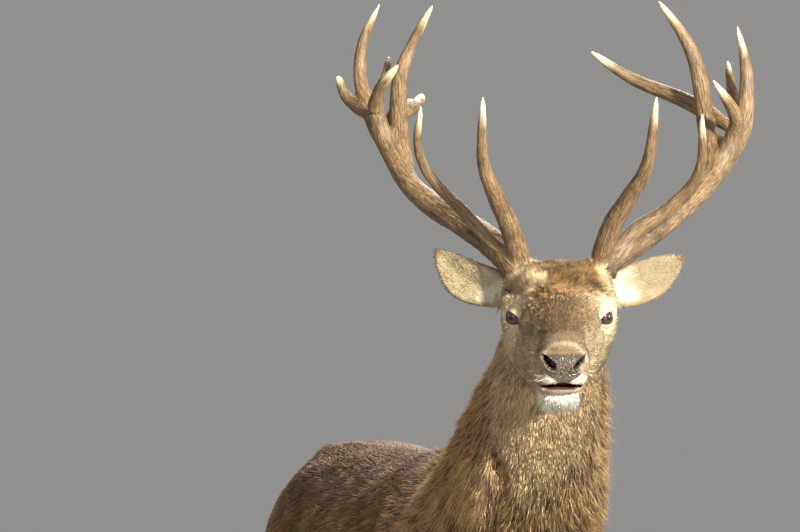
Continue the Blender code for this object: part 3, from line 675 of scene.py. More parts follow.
def buildSkin():
    lengths = [
        levelLoft("trunk", body["trunk"], Matrix()), pathLoft("neck", body["neck"]),
        levelLoft("head", head["lengths"], headFrame), pathLoft("tail", body["tail"], count=14),
        pathLoft("sheath", body["sheath"], count=14), *[legLoft(name) for name in body["legs"]],
    ]
    flesh = remeshed(joined(lengths, "flesh"), body["voxel"], body["smoothing"])
    coarse = [pathLoft("neck", body["neck"][2:]), levelLoft("head", head["lengths"], headFrame, 5, 40)]
    fine = openMouth(remeshed(joined(coarse, "head"), head["coarse"], 10)) + [earShell(side) for side in sides]
    fine = remeshed(joined(fine, "head"), head["voxel"], 3)
    point = headFrame @ Vector(head["cutPoint"])
    normal = headFrame.to_3x3() @ Vector(head["cutNormal"])
    openAt(fine, point, normal, True)
    openAt(flesh, point - normal.normalized() * 0.004, normal, False)
    skin = joined([flesh, fine], "skin")
    edited(skin.data, lambda mesh: mend(mesh, point, normal))
    points = pointsOf(skin.data)
    points += pushForms(points, points, body["forms"])
    points += foldField(points, 0.011)[:, None] * np.array(body["foldDepth"])
    centre, radii, push = body["mane"]
    points += hill(points, centre, radii)[:, None] * np.array(push)
    local = points @ headIn[:3, :3].T + headIn[:3, 3]
    onHead = ease(-0.02, 0.02, pastCut(local))
    local += pushForms(points, local, head["forms"]) * onHead[:, None]
    side, back, up = local.T
    groove = bell(up - lipLevels(back, side)[0], 0.0028) * ease(0.028, 0.036, np.abs(side))
    local[:, 0] -= head["lipGroove"] * np.sign(side) * groove * onHead * ease(-0.116, -0.132, back)
    setPoints(skin.data, fromHead(local))
    return skin


print("skin: lofted lengths, joined and parted at the mouth")
skin = buildSkin()
print("skin vertices", len(skin.data.vertices))


# where on the stag each point is, and its markings

def earField(local, side):
    # share along the ear, distance from its axis as a share of its width, and 1 near the ear
    root, length, along, front, across = map(np.array, axes(side))
    ray = local - root
    share = ray @ along / length
    widths = np.array(ears["edges"])[:, 0] / 1000
    width = np.interp(np.clip(share, 0, 1), np.linspace(0, 1, len(widths)), widths)
    aside = np.abs(ray @ across - earBow(side, share))
    near = (share < 1.06) & (aside < width * 1.25 + 0.006) & (np.abs(ray @ front) < 0.055)
    return share, aside / (width + 0.004), near * ease(0.06, 0.20, share)


def describe(points, normals):
    local = toHead(points)
    facing = normals @ headIn[:3, :3].T
    at = SimpleNamespace(points=points, normals=normals, local=local, facing=facing)
    x, y, z = points.T
    side, back, up = np.abs(local[:, 0]), local[:, 1], local[:, 2]
    at.head = ease(-0.030, 0.035, pastCut(local)) * (z > 1.0)
    chest = -0.66 * (y + 0.42) + 0.75 * (z - 1.02) + 0.05 * patches(points, 0.05, 10)
    at.neck = ease(-0.20, 0.08, chest) * ease(-0.24, -0.42, y) * (1 - at.head)
    at.breast = ease(-0.42, -0.60, y) * ease(0.64, 0.82, z) * (1 - at.head)
    at.mane = np.maximum(at.neck, at.breast)
    foreleg = ease(0.76, 0.64, z) * (y > -0.70) * (y < -0.22) * ease(0.02, 0.05, np.abs(x))
    hindleg = ease(0.82, 0.68, z) * (y > 0.27) * ease(0.015, 0.04, np.abs(x))
    at.leg = np.maximum(foreleg, hindleg)
    at.tail = ease(0.660, 0.690, y) * ease(0.060, 0.044, np.abs(x)) * (z > 0.88)
    ear = np.zeros((4, len(points)))
    for name, sign in sides.items():
        share, rim, near = earField(local, name)
        own = near * (local[:, 0] * sign > 0.05)
        ear = np.where(own > 0, (own, share, rim, facing @ np.array(axes(name)[3])), ear)
    at.ear, at.earShare, at.earRim, inner = ear
    at.earInner = ease(-0.05, 0.25, inner) * (at.ear > 0)
    lids = [lidField(local, sign) for sign in sides.values()]
    at.lid = np.maximum(*[np.where(distance < 0.035, inside, -90.0) for inside, distance, *_ in lids])
    ragged = 0.011 * patches(points, 0.018, 9) + 0.008 * patches(points, 0.008, 13)
    at.crown = (at.head * (1 - at.ear) * ease(-0.056, -0.030, back + ragged) * ease(0.180, 0.140, back)
                * ease(0.034, 0.054, up + 0.5 * ragged) * ease(0.116, 0.098, side + ragged))
    # the bare pad of the nose, wide at the nostrils and narrow at the lip
    half = np.interp(up + 0.0006 * patches(points, 0.004, 12), *np.array(nose["pad"]).T / 1000)
    pad = ease(0.002, -0.002, side - half) * ease(-0.074, -0.070, up) * ease(-0.0125, -0.0185, up)
    rings = [nostrilRing(local, sign) for sign in sides.values()]
    at.pad = np.maximum(pad, sum(ease(1.30, 1.12, ring) for ring in rings)) * ease(-0.212, -0.222, back)
    upper, lower = lipLevels(back, side)
    parted = ease(-0.146, -0.160, back)
    at.mouth = parted * ease(0.0016, -0.0004, up - upper) * ease(-0.0016, 0.0004, up - lower)
    lip = parted * ease(-0.0105, -0.0070, up - lower) * ease(0.004, 0.001, up - lower)
    at.lip = lip * ease(-0.196, -0.212, back) * ease(0.032, 0.020, side)
    # painted shade along the line of the lips, behind the corners of the mouth
    seam = bell(up - upper, 0.0016) * ease(0.026, 0.034, side)
    at.lipLine = seam * ease(-0.118, -0.130, back) * at.head
    nostril = sum(ease(1.4, 1.1, ring) for ring in rings) * ease(-0.200, -0.214, back)
    at.bare = np.clip(nostril + at.pad + at.mouth + at.lip + ease(-3.5, -1.2, at.lid), 0, 1)
    return at


coat = {
    "length": {"face": 0.0095, "cheek": 0.016, "crown": 0.020, "ear": 0.008, "neck": 0.036, "throat": 0.040,
               "trunk": 0.030, "belly": 0.034, "leg": 0.015, "tail": 0.036},
    # how deep the skin lies under the coat's outline
    "depth": {"face": 0.0026, "chin": 0.0072, "crown": 0.010, "ear": 0.0008, "neck": 0.017, "trunk": 0.008,
              "leg": 0.0028, "tail": 0.007, "bare": 0.0003},
}

shades = {
    "back": (122, 92, 60), "flank": (150, 117, 77), "belly": (108, 86, 60), "rump": (222, 202, 158),
    # the neck's dark shade is dark hair, and also painted shade in the creases of the throat
    "neck": (196, 156, 106), "neckDarkAndCreaseShade": (86, 62, 40), "throat": (236, 204, 158), "mane": (188, 144, 94),
    "leg": (138, 110, 78), "legFront": (104, 82, 60), "legInner": (180, 154, 116), "tail": (196, 156, 106),
    "cheek": (236, 212, 170), "cheekLow": (212, 182, 138), "eyeRing": (250, 236, 198), "forehead": (172, 141, 101),
    # the brow patch shade is the brow's own colour, and also painted shade along the line of the lips
    "browPatchAndLipShade": (116, 88, 62), "bridge": (142, 114, 80), "muzzle": (182, 156, 120), "muzzleRing": (238, 214, 174),
    "muzzleDark": (146, 118, 86), "lipWhite": (255, 250, 232), "chin": (255, 251, 232), "crown": (116, 88, 50),
    # the ear root's dark shade is painted shade where the ear meets the head
    "crownDark": (80, 58, 34), "crownPale": (238, 214, 168), "earInner": (182, 164, 128), "earTuft": (240, 230, 204),
    "earBack": (146, 120, 88), "earRim": (136, 106, 74), "earRootShade": (76, 56, 38), "bleached": (236, 206, 164),
    "pad": (76, 66, 55), "wing": (200, 168, 150), "nostril": (12, 9, 9), "mouth": (62, 16, 13),
    "lip": (126, 114, 104), "lid": (26, 19, 16), "tear": (52, 37, 27),
}


def markings(at):
    # hair colour at each point, on the 0 to 255 scale
    points, local, on, ear = at.points, at.local, at.head, at.ear
    x, y, z = points.T
    normalX, normalY, _ = at.normals.T
    side, ahead, up = np.abs(local[:, 0]), -local[:, 1], local[:, 2]
    folded = np.stack([side, local[:, 1], up], axis=1)  # both halves of the head laid on its left
    broad, small = patches(points, 0.09, 3), patches(points, 0.022, 4)

    def spot(centre, radii):
        # a soft spot on both sides of the head, in millimetres
        return on * hill(folded, np.array(centre) / 1000, np.array(radii) / 1000)

    dorsal = at.normals @ np.array((0.0, 0.75, 0.66))
    start, end = body["crease"][1:]
    crease = bell(throatPlace(x, y) - body["crease"][0], 0.0085) * ease(*start, z) * ease(*end, z)
    arch = up - 0.049 + 0.10 * np.abs(side - 0.024) + 0.004 * small
    ring = np.hypot(side / 0.0455, (up + 0.23 * (0.245 - ahead) + 0.036) / 0.0415)  # 1 around the nose
    front = ease(0.160, 0.185, ahead)
    # the crown's pale sides are the coat's own colour; the pale reaching further in on the right is painted light
    paleSideWithPaintedLight = side + 0.014 * small + 0.022 * (local[:, 0] < 0)  # on the right of the crown
    cleft = bell(side, 0.004) * ease(-0.100, -0.115, up)
    inEar, earRim, earShare = ear * at.earInner, at.earRim, at.earShare
    fluff = ease(0.50, 0.22, earShare + 0.12 * small) * ease(0.90, 0.55, earRim + 0.2 * small)
    layers = [
        ("back", ease(1.05, 1.17, z) * 0.9),
        ("belly", ease(0.80, 0.70, z) * (1 - at.leg)),
        ("rump", ease(0.56, 0.62, y + 0.02 * small) * ease(0.155, 0.115, np.abs(x)) * ease(0.78, 0.86, z)),
        ("neck", at.mane),
        ("neckDarkAndCreaseShade", at.neck * ease(0.45, 0.9, dorsal) * 0.6),
        ("mane", at.mane * ease(0.0, 0.8, broad) * 0.6),
        ("throat", at.neck * ease(1.02, 1.22, z + 0.05 * broad) * ease(-0.2, -0.8, normalY) * 0.9),
        # painted shade in the fold between the throat and the mane
        ("neckDarkAndCreaseShade", foldField(points, 0.008) * 0.9),
        # painted shade in the crease under the chin
        ("neckDarkAndCreaseShade", at.neck * crease * ease(-0.60, -0.66, y)),
        ("neckDarkAndCreaseShade", at.mane * ease(1.12, 0.96, z + 0.04 * broad) * 0.45),
        ("leg", at.leg),
        ("legFront", at.leg * ease(0.2, 0.8, -normalY) * 0.75),
        ("legInner", at.leg * ease(0.3, 0.8, -normalX * np.sign(x)) * 0.7),
        ("tail", at.tail),
        ("cheek", on),
        ("cheekLow", on * ease(-0.055, -0.12, up) * ease(0.16, 0.06, ahead) * 0.8),
        ("throat", on * ease(0.05, -0.03, ahead) * ease(-0.10, -0.15, up) * 0.8),
        ("bridge", on * ease(0.046, 0.030, side) * ease(0.05, 0.11, ahead) * ease(-0.035, -0.01, up)),
        ("forehead", on * ease(0.072, 0.042, side + 0.008 * small) * ease(-0.05, -0.02, up)
         * ease(0.130, 0.095, ahead + 0.01 * small) * 0.85),
        ("browPatchAndLipShade", spot((0, -55, 50), (26, 34, 60)) * 0.75),
        ("browPatchAndLipShade", spot((52, -12, 42), (10, 30, 11)) * 0.6),
        ("browPatchAndLipShade", spot((46, -85, -12), (9, 30, 12)) * 0.35),
        ("cheek", on * bell(arch, 0.0055) * ease(0.060, 0.045, side) * 0.55),
        ("muzzle", on * ease(0.165, 0.190, ahead) * ease(-0.085, -0.050, up)),
        ("muzzleDark", on * bell(ring - 1.16, 0.06) * front * ease(-0.07, -0.05, up) * 0.45),
        ("muzzleRing", on * bell(ring - 0.97, 0.10) * front * 0.95),
        ("muzzleDark", on * ease(0.82, 0.66, ring) * ease(0.18, 0.20, ahead) * ease(-0.030, -0.018, up) * 0.55),
        ("lipWhite", spot((28, -235, -60.5), (14, 30, 8.5)) * 1.4),
        ("eyeRing", on * ease(-30, -14, at.lid) * 0.9),
        ("eyeRing", spot((85, -30, -32), (22, 35, 22)) * 0.7),
        ("eyeRing", spot((71, -10, 42), (22, 40, 20)) * 0.9),
        ("crown", on * at.crown),
        ("crownDark", on * at.crown * ease(0.0, 0.6, patches(points, 0.016, 14)) * 0.85),
        # pale sides of the crown, reaching further in on the right as painted light
        ("crownPale", on * at.crown * ease(0.048, 0.074, paleSideWithPaintedLight) * 0.95),
        ("chin", on * ease(0.150, 0.185, ahead) * ease(-0.079, -0.088, up)),
        ("muzzle", on * cleft * 0.35 * ease(0.17, 0.19, ahead)),
        # painted shade along the line of the lips
        ("browPatchAndLipShade", at.lipLine * 0.8),
        ("tear", on * ease(0.0048, 0.0022, fromLine(folded, (0.073, -0.022, -0.004), (0.061, -0.054, -0.019)))),
        # painted shade where the ear meets the head
        ("earRootShade", (1 - ease(0.05, 0.10, ear)) * spot((95, 85, 0), (18, 28, 30)) * 0.8),
        ("earBack", ear),
        ("earInner", inEar * ease(1.0, 0.80, earRim)),
        ("earTuft", inEar * fluff),
        ("earRim", ear * ease(0.78, 0.98, earRim)),
        ("earRim", ear * ease(0.90, 0.98, earShare) * 0.8),
        ("pad", at.pad),
        ("wing", at.pad * spot((33.5, -235, -40), (6.2, 30, 8.5)) * (0.45 + 0.5 * (local[:, 0] > 0))),
    ]
    for sign, lowest in ((1, -0.040), (-1, -0.060)):
        hole = ease(1.0, 0.76, nostrilRing(local, sign)) * ease(0.19, 0.21, ahead)
        layers.append(("nostril", on * hole * ease(lowest - 0.004, lowest + 0.006, up)))
    layers += [("lip", at.lip), ("mouth", at.mouth), ("lid", ease(-4.0, -1.5, at.lid))]
    colour = laid(np.tile(np.array(shades["flank"], float), (len(points), 1)),
                  [(shades[name], mask) for name, mask in layers])
    return colour * (1 + 0.05 * broad + 0.06 * small)[:, None]


def chinZone(local):
    return ease(-0.150, -0.180, local[:, 1]) * ease(-0.082, -0.092, local[:, 2])


def coatDepth(at):
    depth, (_, back, up) = coat["depth"], at.local.T
    return laid(np.full(len(back), depth["trunk"]), [
        (depth["neck"], at.mane),
        (depth["leg"], at.leg),
        (depth["tail"], at.tail),
        (depth["face"], at.head),
        (depth["face"] * 0.55, at.head * ease(-0.17, -0.20, back)),
        (depth["neck"] * 0.6, at.head * (ease(-0.02, 0.09, back) * ease(0.0, -0.10, up)) * 0.7),
        (depth["chin"], at.head * chinZone(at.local)),
        (depth["crown"], at.head * at.crown),
        (depth["ear"], np.maximum(at.ear, at.earShare > 0)),
        (depth["bare"], at.bare),
    ])


def hideMaterial():
    look = Look("hide")
    bare, place = look.attribute("bare"), look.place()
    under = look.spread(look.noise(place, 420, 5, 0.6), 0.3, 0.7, 0.62, 1.15)
    cobbles = look.cells(place, 430)
    between = look.spread(cobbles, 0.15, 0.65, 1.25, 0.50)
    relief = look.mix(bare, look.noise(place, 1300, 3), cobbles, "FLOAT")
    return look.finish({
        "Base Color": look.scaled(look.attribute("tint", "Color"), look.mix(bare, under, between, "FLOAT")),
        "Normal": look.bump(relief, 0.9, 0.0024),
        "Roughness": look.spread(bare, 0, 1, 0.78, 0.24),
        "Specular IOR Level": 0.4,
    })


def dressSkin(skin):
    mesh = skin.data
    points, normals = pointsOf(mesh), pointsOf(mesh, "normal")
    points = points - normals * coatDepth(describe(points, normals))[:, None]
    setPoints(mesh, fromHead(shapeNostrils(shapeLids(toHead(points)))))
    at = describe(pointsOf(mesh), pointsOf(mesh, "normal"))
    hair = linear(markings(at)) * (0.70 + 0.30 * at.bare)[:, None]
    setAttribute(mesh, "tint", "FLOAT_COLOR", np.c_[hair, np.ones(len(hair))])
    wet = np.clip(at.pad + 0.8 * at.mouth + 0.5 * at.lip + 0.6 * ease(-3.5, -1.2, at.lid), 0, 1)
    setAttribute(mesh, "bare", "FLOAT", wet)
    mesh.materials.append(hideMaterial())
    shadeSmooth(mesh)


dressSkin(skin)
print("skin: coat depth, lids, nostrils and markings")


# antlers

antlers = {
    "voxel": 0.0026,
    "sides": 20,
    "forkSmoothing": 38,
    "longFeet": ("inner_tine", "front_tine", "cross_tine"),  # these run down into the beam
    # points out from the middle, back and up from the eyes; radius at the foot and the tip, taper
    "left": {
        "beam": [[(56, 45, 45), (83, 52, 95), (150, 105, 142), (210, 170, 188), (270, 245, 242), (318, 305, 300),
                  (350, 350, 360), (358, 375, 455), (340, 360, 543)], 24.5, 6, 3.2],
        "brow_tine": [[(70, 50, 90), (95, 10, 165), (126, -30, 217), (155, -75, 275), (168, -125, 388)], 19, 6.2],
        "bez_tine": [[(95, 60, 112), (145, 70, 160), (202, 60, 197), (252, 25, 262), (253, -45, 362)], 16.5, 6],
        "inner_tine": [[(255, 228, 230), (288, 274, 270), (281, 350, 375), (267, 385, 470), (240, 390, 530),
                        (195, 370, 590)], 20, 5.8],
        "front_tine": [[(250, 222, 224), (289, 272, 266), (322, 288, 318), (332, 268, 370),
                        (287, 210, 435)], 20, 5, 3],
        "crown": [[(285, 285, 280), (293, 314, 308), (306, 333, 340)], 18.5, 15],
        "cross_tine": [[(335, 350, 350), (255, 430, 405), (150, 475, 452), (73, 462, 502)], 16.5, 4.8],
        "back_tine": [[(350, 370, 375), (335, 425, 425), (328, 460, 485)], 12.5, 4.2],
    },
    "right": {
        "beam": [[(54, 45, 45), (78, 52, 92), (123, 90, 138), (174, 135, 175), (230, 190, 212), (275, 245, 262),
                  (325, 325, 358), (352, 375, 440), (348, 385, 515), (318, 365, 583)], 26.8, 6],
        "brow_tine": [[(64, 50, 88), (88, 10, 160), (114, -30, 214), (138, -75, 275), (140, -125, 388)], 19, 6.2],
        "bez_tine": [[(71, 50, 88), (96, 47, 112), (137, 50, 153), (184, 48, 204), (215, 38, 234), (242, 20, 271),
                      (254, -10, 313), (248, -45, 376)], 12.4, 6.4],
        "inner_tine": [[(240, 204, 224), (272, 258, 272), (283, 325, 357), (280, 375, 445), (260, 390, 505),
                        (220, 370, 582)], 20.5, 5.8],
        "front_tine": [[(272, 242, 262), (303, 292, 318), (325, 290, 378), (315, 255, 425),
                        (285, 215, 463)], 20.5, 5.2],
        "cross_tine": [[(302, 340, 365), (268, 420, 392), (250, 500, 402), (236, 572, 425)], 18.5, 7],
        "back_tine": [[(330, 365, 400), (307, 420, 450), (300, 455, 492)], 12, 4.2],
        "outer_tine": [[(340, 345, 378), (378, 375, 412), (396, 370, 452)], 13.5, 5.5],
    },
    "shades": {"groove": (60, 44, 29), "bark": (112, 88, 60), "worn": (156, 130, 95), "tip": (226, 212, 174)},
}


def tineSpine(side, part):
    # place, radius, direction and two cross directions at each step of one horn
    points, startRadius, tipRadius, *taper = antlers[side][part]
    path = np.array([antlerFrame @ Vector(mirrored(p, sides[side])) for p in smoothRows(points, 8)])
    share = np.linspace(0, 1, len(path))
    start, tip = startRadius / 1000, tipRadius / 1000
    radius = start + (tip - start) * share ** (taper[0] if taper else 1.8)
    foot = 0.22 if part in antlers["longFeet"] else 0.03
    radius = radius * np.interp(share, (0, foot, 0.90, 0.97, 1.0), (0.6, 1.0, 1.0, 0.72, 0.25))
    tangent = unit(np.gradient(path, axis=0))
    aside = unit(np.cross(tangent, (0.13, 0.31, -0.94)))
    return path, radius[:, None], tangent, aside, np.cross(aside, tangent)


def softenForks(mesh, points, spines):
    # fills the creases where two horns grow together
    gaps = [(np.linalg.norm(points[:, None] - path[None], axis=2) - radius.T).min(axis=1) for path, radius in spines]
    share = 0.7 * ease(0.013, 0.002, np.sort(np.array(gaps), axis=0)[1])[:, None]
    ends = np.empty(len(mesh.edges) * 2, dtype=np.int32)
    mesh.edges.foreach_get("vertices", ends)
    first, last = ends.reshape(-1, 2).T
    size = len(points)
    around = np.bincount(ends, minlength=size)[:, None]
    for _ in range(antlers["forkSmoothing"]):
        total = [np.bincount(first, axis[last], size) + np.bincount(last, axis[first], size) for axis in points.T]
        points = points + share * (np.stack(total, axis=1) / around - points)
    return points


def makeAntler(side):
    tubes, spines, knots = [], [], []
    angles = np.arange(antlers["sides"]) * 2 * math.pi / antlers["sides"]
    for part in antlers[side]:
        path, radius, tangent, aside, upright = tineSpine(side, part)
        tubes.append(loft(part, [p + np.outer(np.cos(angles), a) * r + np.outer(np.sin(angles), u) * r
                                 for p, r, a, u in zip(path, radius, aside, upright)]))
        spines.append((path, radius))
        run = np.concatenate([[0], np.cumsum(np.linalg.norm(np.diff(path, axis=0), axis=1))])
        same = np.ones(len(run))
        knots.append(np.c_[path, tangent, aside, upright, run, run[-1] - run, same * (part == "beam"),
                           same * min(1.0, run[-1] / 0.30)])
    whole = remeshed(joined(tubes, f"antler{side.capitalize()}"), antlers["voxel"], 3)
    mesh = whole.data
    setPoints(mesh, softenForks(mesh, pointsOf(mesh), spines))
    points, normals = pointsOf(mesh), pointsOf(mesh, "normal")
    knots = np.vstack(knots)
    tree = kdtree.KDTree(len(knots))
    for i, knot in enumerate(knots):
        tree.insert(knot[:3], i)
    tree.balance()
    nearest = knots[[tree.find(p)[1] for p in points]]
    centre, tangent, aside, upright = (nearest[:, k : k + 3] for k in (0, 3, 6, 9))
    run, left, isBeam, pale = nearest[:, 12:].T
    ray = points - centre
    ahead = (ray * tangent).sum(1)
    run, left = run + ahead, left - ahead
    angle = np.arctan2((ray * upright).sum(1), (ray * aside).sum(1))
    # grooves run along the horn; pearls and the burr roughen its foot
    grain = np.stack([np.cos(angle) * 0.020, np.sin(angle) * 0.020, run * 0.10], axis=1)
    low = ease(0.42, 0.04, run) * (0.35 + 0.65 * isBeam)
    burr = bell(run - 0.052, 0.008) * isBeam
    push = patches(grain, 0.0045, 5) * 0.0008 * ease(0.03, 0.12, left)
    push += (np.maximum(patches(points, 0.006, 6), 0) * 0.0022) * low
    push += burr * (0.0050 + 0.0025 * patches(points, 0.006, 8))
    setPoints(mesh, points + normals * push[:, None])
    worn = ease(0.062, 0.006, left / pale + 0.020 * patches(grain, 0.0042, 7))
    setAttribute(mesh, "grain", "FLOAT_VECTOR", grain)
    setAttribute(mesh, "tip", "FLOAT", worn * (0.55 + 0.45 * pale))
    setAttribute(mesh, "foot", "FLOAT", low)
    shadeSmooth(mesh)
    return whole


def antlerMaterial():
    look = Look("antlerHorn")
    place, tip, foot = look.place(), look.attribute("tip"), look.attribute("foot")
    strands = look.noise(look.attribute("grain", "Vector"), 470, 8, 0.66)
    horn = look.ramp(strands, [(0.36, "groove"), (0.5, "bark"), (0.66, "worn")], antlers["shades"])
    cloud = look.spread(look.noise(place, 26, 4), 0.3, 0.7, 0.68, 1.16)
    horn = look.scaled(horn, look.maths("MULTIPLY_ADD", foot, -0.30, cloud))
    ridges = look.maths("MULTIPLY", strands, look.spread(tip, 0, 1, 1.0, 0.12))
    pearls = look.maths("MULTIPLY", look.cells(place, 190), foot)
    return look.finish({
        "Base Color": look.mix(tip, horn, paint(antlers["shades"]["tip"])),
        "Normal": look.bump(pearls, 0.7, 0.0025, Normal=look.bump(ridges, 0.6, 0.0014)),
        "Roughness": look.spread(tip, 0, 1, 0.55, 0.32),
        "Specular IOR Level": 0.45,
    })


hornMaterial = antlerMaterial()
for side in sides:
    horn = makeAntler(side)
    horn.data.materials.append(hornMaterial)
    finishPiece(horn, "antler", *[f"antler_{side}_{part}" for part in {**antlers[side], "crown": 0}])
print("antlers: grooved, pearled at the foot, pale at the tips")


# eyes

eyeLook = {
    "gaze": (0.70, -0.71, 0.02), "cornea": 0.0013, "corneaAngle": 36.0,
    "irisAngle": 33.0, "pupil": (17.0, 9.5), "pupilShade": (0.004, 0.003, 0.003, 1),
    "iris": (70, 46, 27), "irisInner": (34, 22, 13), "limbus": (12, 8, 6), "white": (70, 50, 38),
}


def makeEye(side, sign):
    bpy.ops.mesh.primitive_uv_sphere_add(segments=96, ring_count=64, radius=eyes["radius"])
    eye = bpy.context.object
    eye.name = f"eyeball{side.capitalize()}"
    points = pointsOf(eye.data)
    gaze = unit(mirrored(eyeLook["gaze"], sign))
    aside = unit(np.cross(gaze, (0, 0, 1.0)))
    ray = unit(points)
    away = np.degrees(np.arccos(np.clip(ray @ gaze, -1, 1)))
    points = points + ray * (eyeLook["cornea"] * ease(eyeLook["corneaAngle"], 0, away))[:, None]
    across, high = (np.degrees(np.arcsin(np.clip(ray @ v, -1, 1))) for v in (aside, np.cross(aside, gaze)))
    setAttribute(eye.data, "away", "FLOAT", away / 90)
    setAttribute(eye.data, "pupil", "FLOAT", np.hypot(across / eyeLook["pupil"][0], high / eyeLook["pupil"][1]))
    setAttribute(eye.data, "spoke", "FLOAT_VECTOR", np.stack([across, high, away * 0.1], axis=1) / (away[:, None] + 4))
    setPoints(eye.data, fromHead(points + mirrored(eyes["place"], sign)))
    shadeSmooth(eye.data)
    return eye


def eyeMaterial():
    look = Look("eyeGloss")
    edge = eyeLook["irisAngle"] / 90
    stops = [(0.06, "irisInner"), (edge * 0.75, "iris"), (edge, "limbus"), (edge * 1.25, "limbus"),
             (edge * 1.6, "white")]
    rings = look.ramp(look.attribute("away"), stops, eyeLook)
    fibres = look.spread(look.noise(look.attribute("spoke", "Vector"), 16, 4), 0.3, 0.7, 0.65, 1.35)
    hole = look.spread(look.attribute("pupil"), 0.92, 1.08, 0, 1, interpolation_type="SMOOTHSTEP")
    return look.finish({
        "Base Color": look.mix(hole, eyeLook["pupilShade"], look.scaled(rings, fibres)),
        "Roughness": 0.10, "IOR": 1.376, "Coat Weight": 0.7, "Coat IOR": 1.55,
    })


wetMaterial = eyeMaterial()
for side, sign in sides.items():
    eyeball = makeEye(side, sign)
    eyeball.data.materials.append(wetMaterial)
    finishPiece(eyeball, "eye", f"eye_{side}")
print("eyes: iris, pupil and wet gloss")


# hoofs

hoofs = {
    # height, half width, front, back of one claw
    "claw": [(0, 16.5, 60, 34), (22, 16.8, 50, 34), (57.5, 14, 22, 30)],
    "apart": 0.0185, "toeOut": 3.0,
    "growth": 0.0004, "bevel": 0.0022,  # depth of the growth rings, and how far the sole is drawn in
    "dewclaw": [(-13, 6.2), (2, 8), (11, 3.8)],  # place along it, radius
    "horn": (46, 38, 33), "wornHorn": (104, 88, 72),
}


def clawLoft(x, y, turn):
    place = Matrix.Translation((x, y, 0)) @ Matrix.Rotation(turn, 4, "Z")
    rows = smoothRows(hoofs["claw"], 8)
    first = rows[0].copy()
    first[1:] -= hoofs["bevel"]
    rows[1] = (0.0020, *(rows[0][1:] + 0.0002))
    rings = []
    for z, halfWidth, front, back in [first, *rows[1:]]:
        growth = hoofs["growth"] * math.sin(z * 900)  # growth rings
        ring = section((0, -0.1 * z, z), (1, 0, 0), (0, -1, 0), halfWidth + growth, front + growth, back, 1.7, 2.3, 32)
        rings.append([place @ Vector(p) for p in ring])
    return loft("claw", rings)


def dewclawLoft(place):
    return loft("dewclaw", [
        section(Vector(place) + Vector((0, along, -1.1 * along)), (1, 0, 0), (0, 0.7, 0.7), size, size, size, 2, 2, 20)
        for along, size in smoothRows(hoofs["dewclaw"], 5)
    ])


def hoofMaterial():
    look = Look("hoofHorn")
    place = look.place()
    rings = look.noise(look.node("Mapping", {"Vector": place, "Scale": (40, 40, 420)}), 1, 3)
    worn = look.spread(look.maths("MULTIPLY", rings, look.noise(place, 240, 5)), 0.15, 0.42, 0, 1)
    return look.finish({
        "Base Color": look.mix(worn, paint(hoofs["horn"]), paint(hoofs["wornHorn"])),
        "Normal": look.bump(rings, 0.5, 0.0012),
        "Roughness": 0.42,
    })


clawMaterial = hoofMaterial()
for name, (kind, *_) in body["legs"].items():
    rows = np.array(body[kind]) / 1000
    x, y, _ = legCentre(name, rows[-2])
    ankle = legCentre(name, rows[-4])
    lofts = []
    for step in (-1, 1):
        lofts.append(clawLoft(x + step * hoofs["apart"], y - 0.004, -step * math.radians(hoofs["toeOut"])))
        lofts.append(dewclawLoft((ankle[0] + step * 0.015, ankle[1] + 0.027, ankle[2] - 0.020)))
    foot = joined(lofts, "hoof" + name.title().replace("_", ""))
    shadeSmooth(foot.data)
    foot.data.set_sharp_from_angle(angle=math.radians(45))
    foot.data.materials.append(clawMaterial)
    finishPiece(foot, "hoof", *[f"{name}_{part}_{place}" for part in ("claw", "dewclaw")
                                for place in ("inner", "outer")])
print("hoofs: claws with growth rings")


# the coat: tapering tufts of hair, rooted on the skin and lying the way the hair lies

skin.data.calc_loop_triangles()
skinCorners = np.empty(len(skin.data.loop_triangles) * 3, np.int32)
skin.data.loop_triangles.foreach_get("vertices", skinCorners)
skinCorners = skinCorners.reshape(-1, 3)
skinPoints, skinNormals = pointsOf(skin.data), pointsOf(skin.data, "normal")
cornerPoints = skinPoints[skinCorners]
edgeOne, edgeTwo = cornerPoints[:, 1] - cornerPoints[:, 0], cornerPoints[:, 2] - cornerPoints[:, 0]
faceArea = 0.5 * np.linalg.norm(np.cross(edgeOne, edgeTwo), axis=1)
face = describe(cornerPoints.mean(1), unit(skinNormals[skinCorners].mean(1)))


def scatter(weight, count):
    # places on the skin, spread evenly by weight
    sums = np.cumsum(faceArea * weight)
    picks = np.searchsorted(sums, (np.arange(count) + chance.random(count)) / count * sums[-1])
    picks = np.minimum(picks, len(sums) - 1)
    s, t = chance.random((2, count))
    flip = s + t > 1
    s, t = np.where(flip, 1 - s, s), np.where(flip, 1 - t, t)
    shares = np.stack([1 - s - t, s, t], axis=1)[:, :, None]
    return describe((cornerPoints[picks] * shares).sum(1), unit((skinNormals[skinCorners[picks]] * shares).sum(1)))


def manyPatches(points, size, seed):
    return np.stack([patches(points, size, seed + k) for k in range(3)], axis=1)


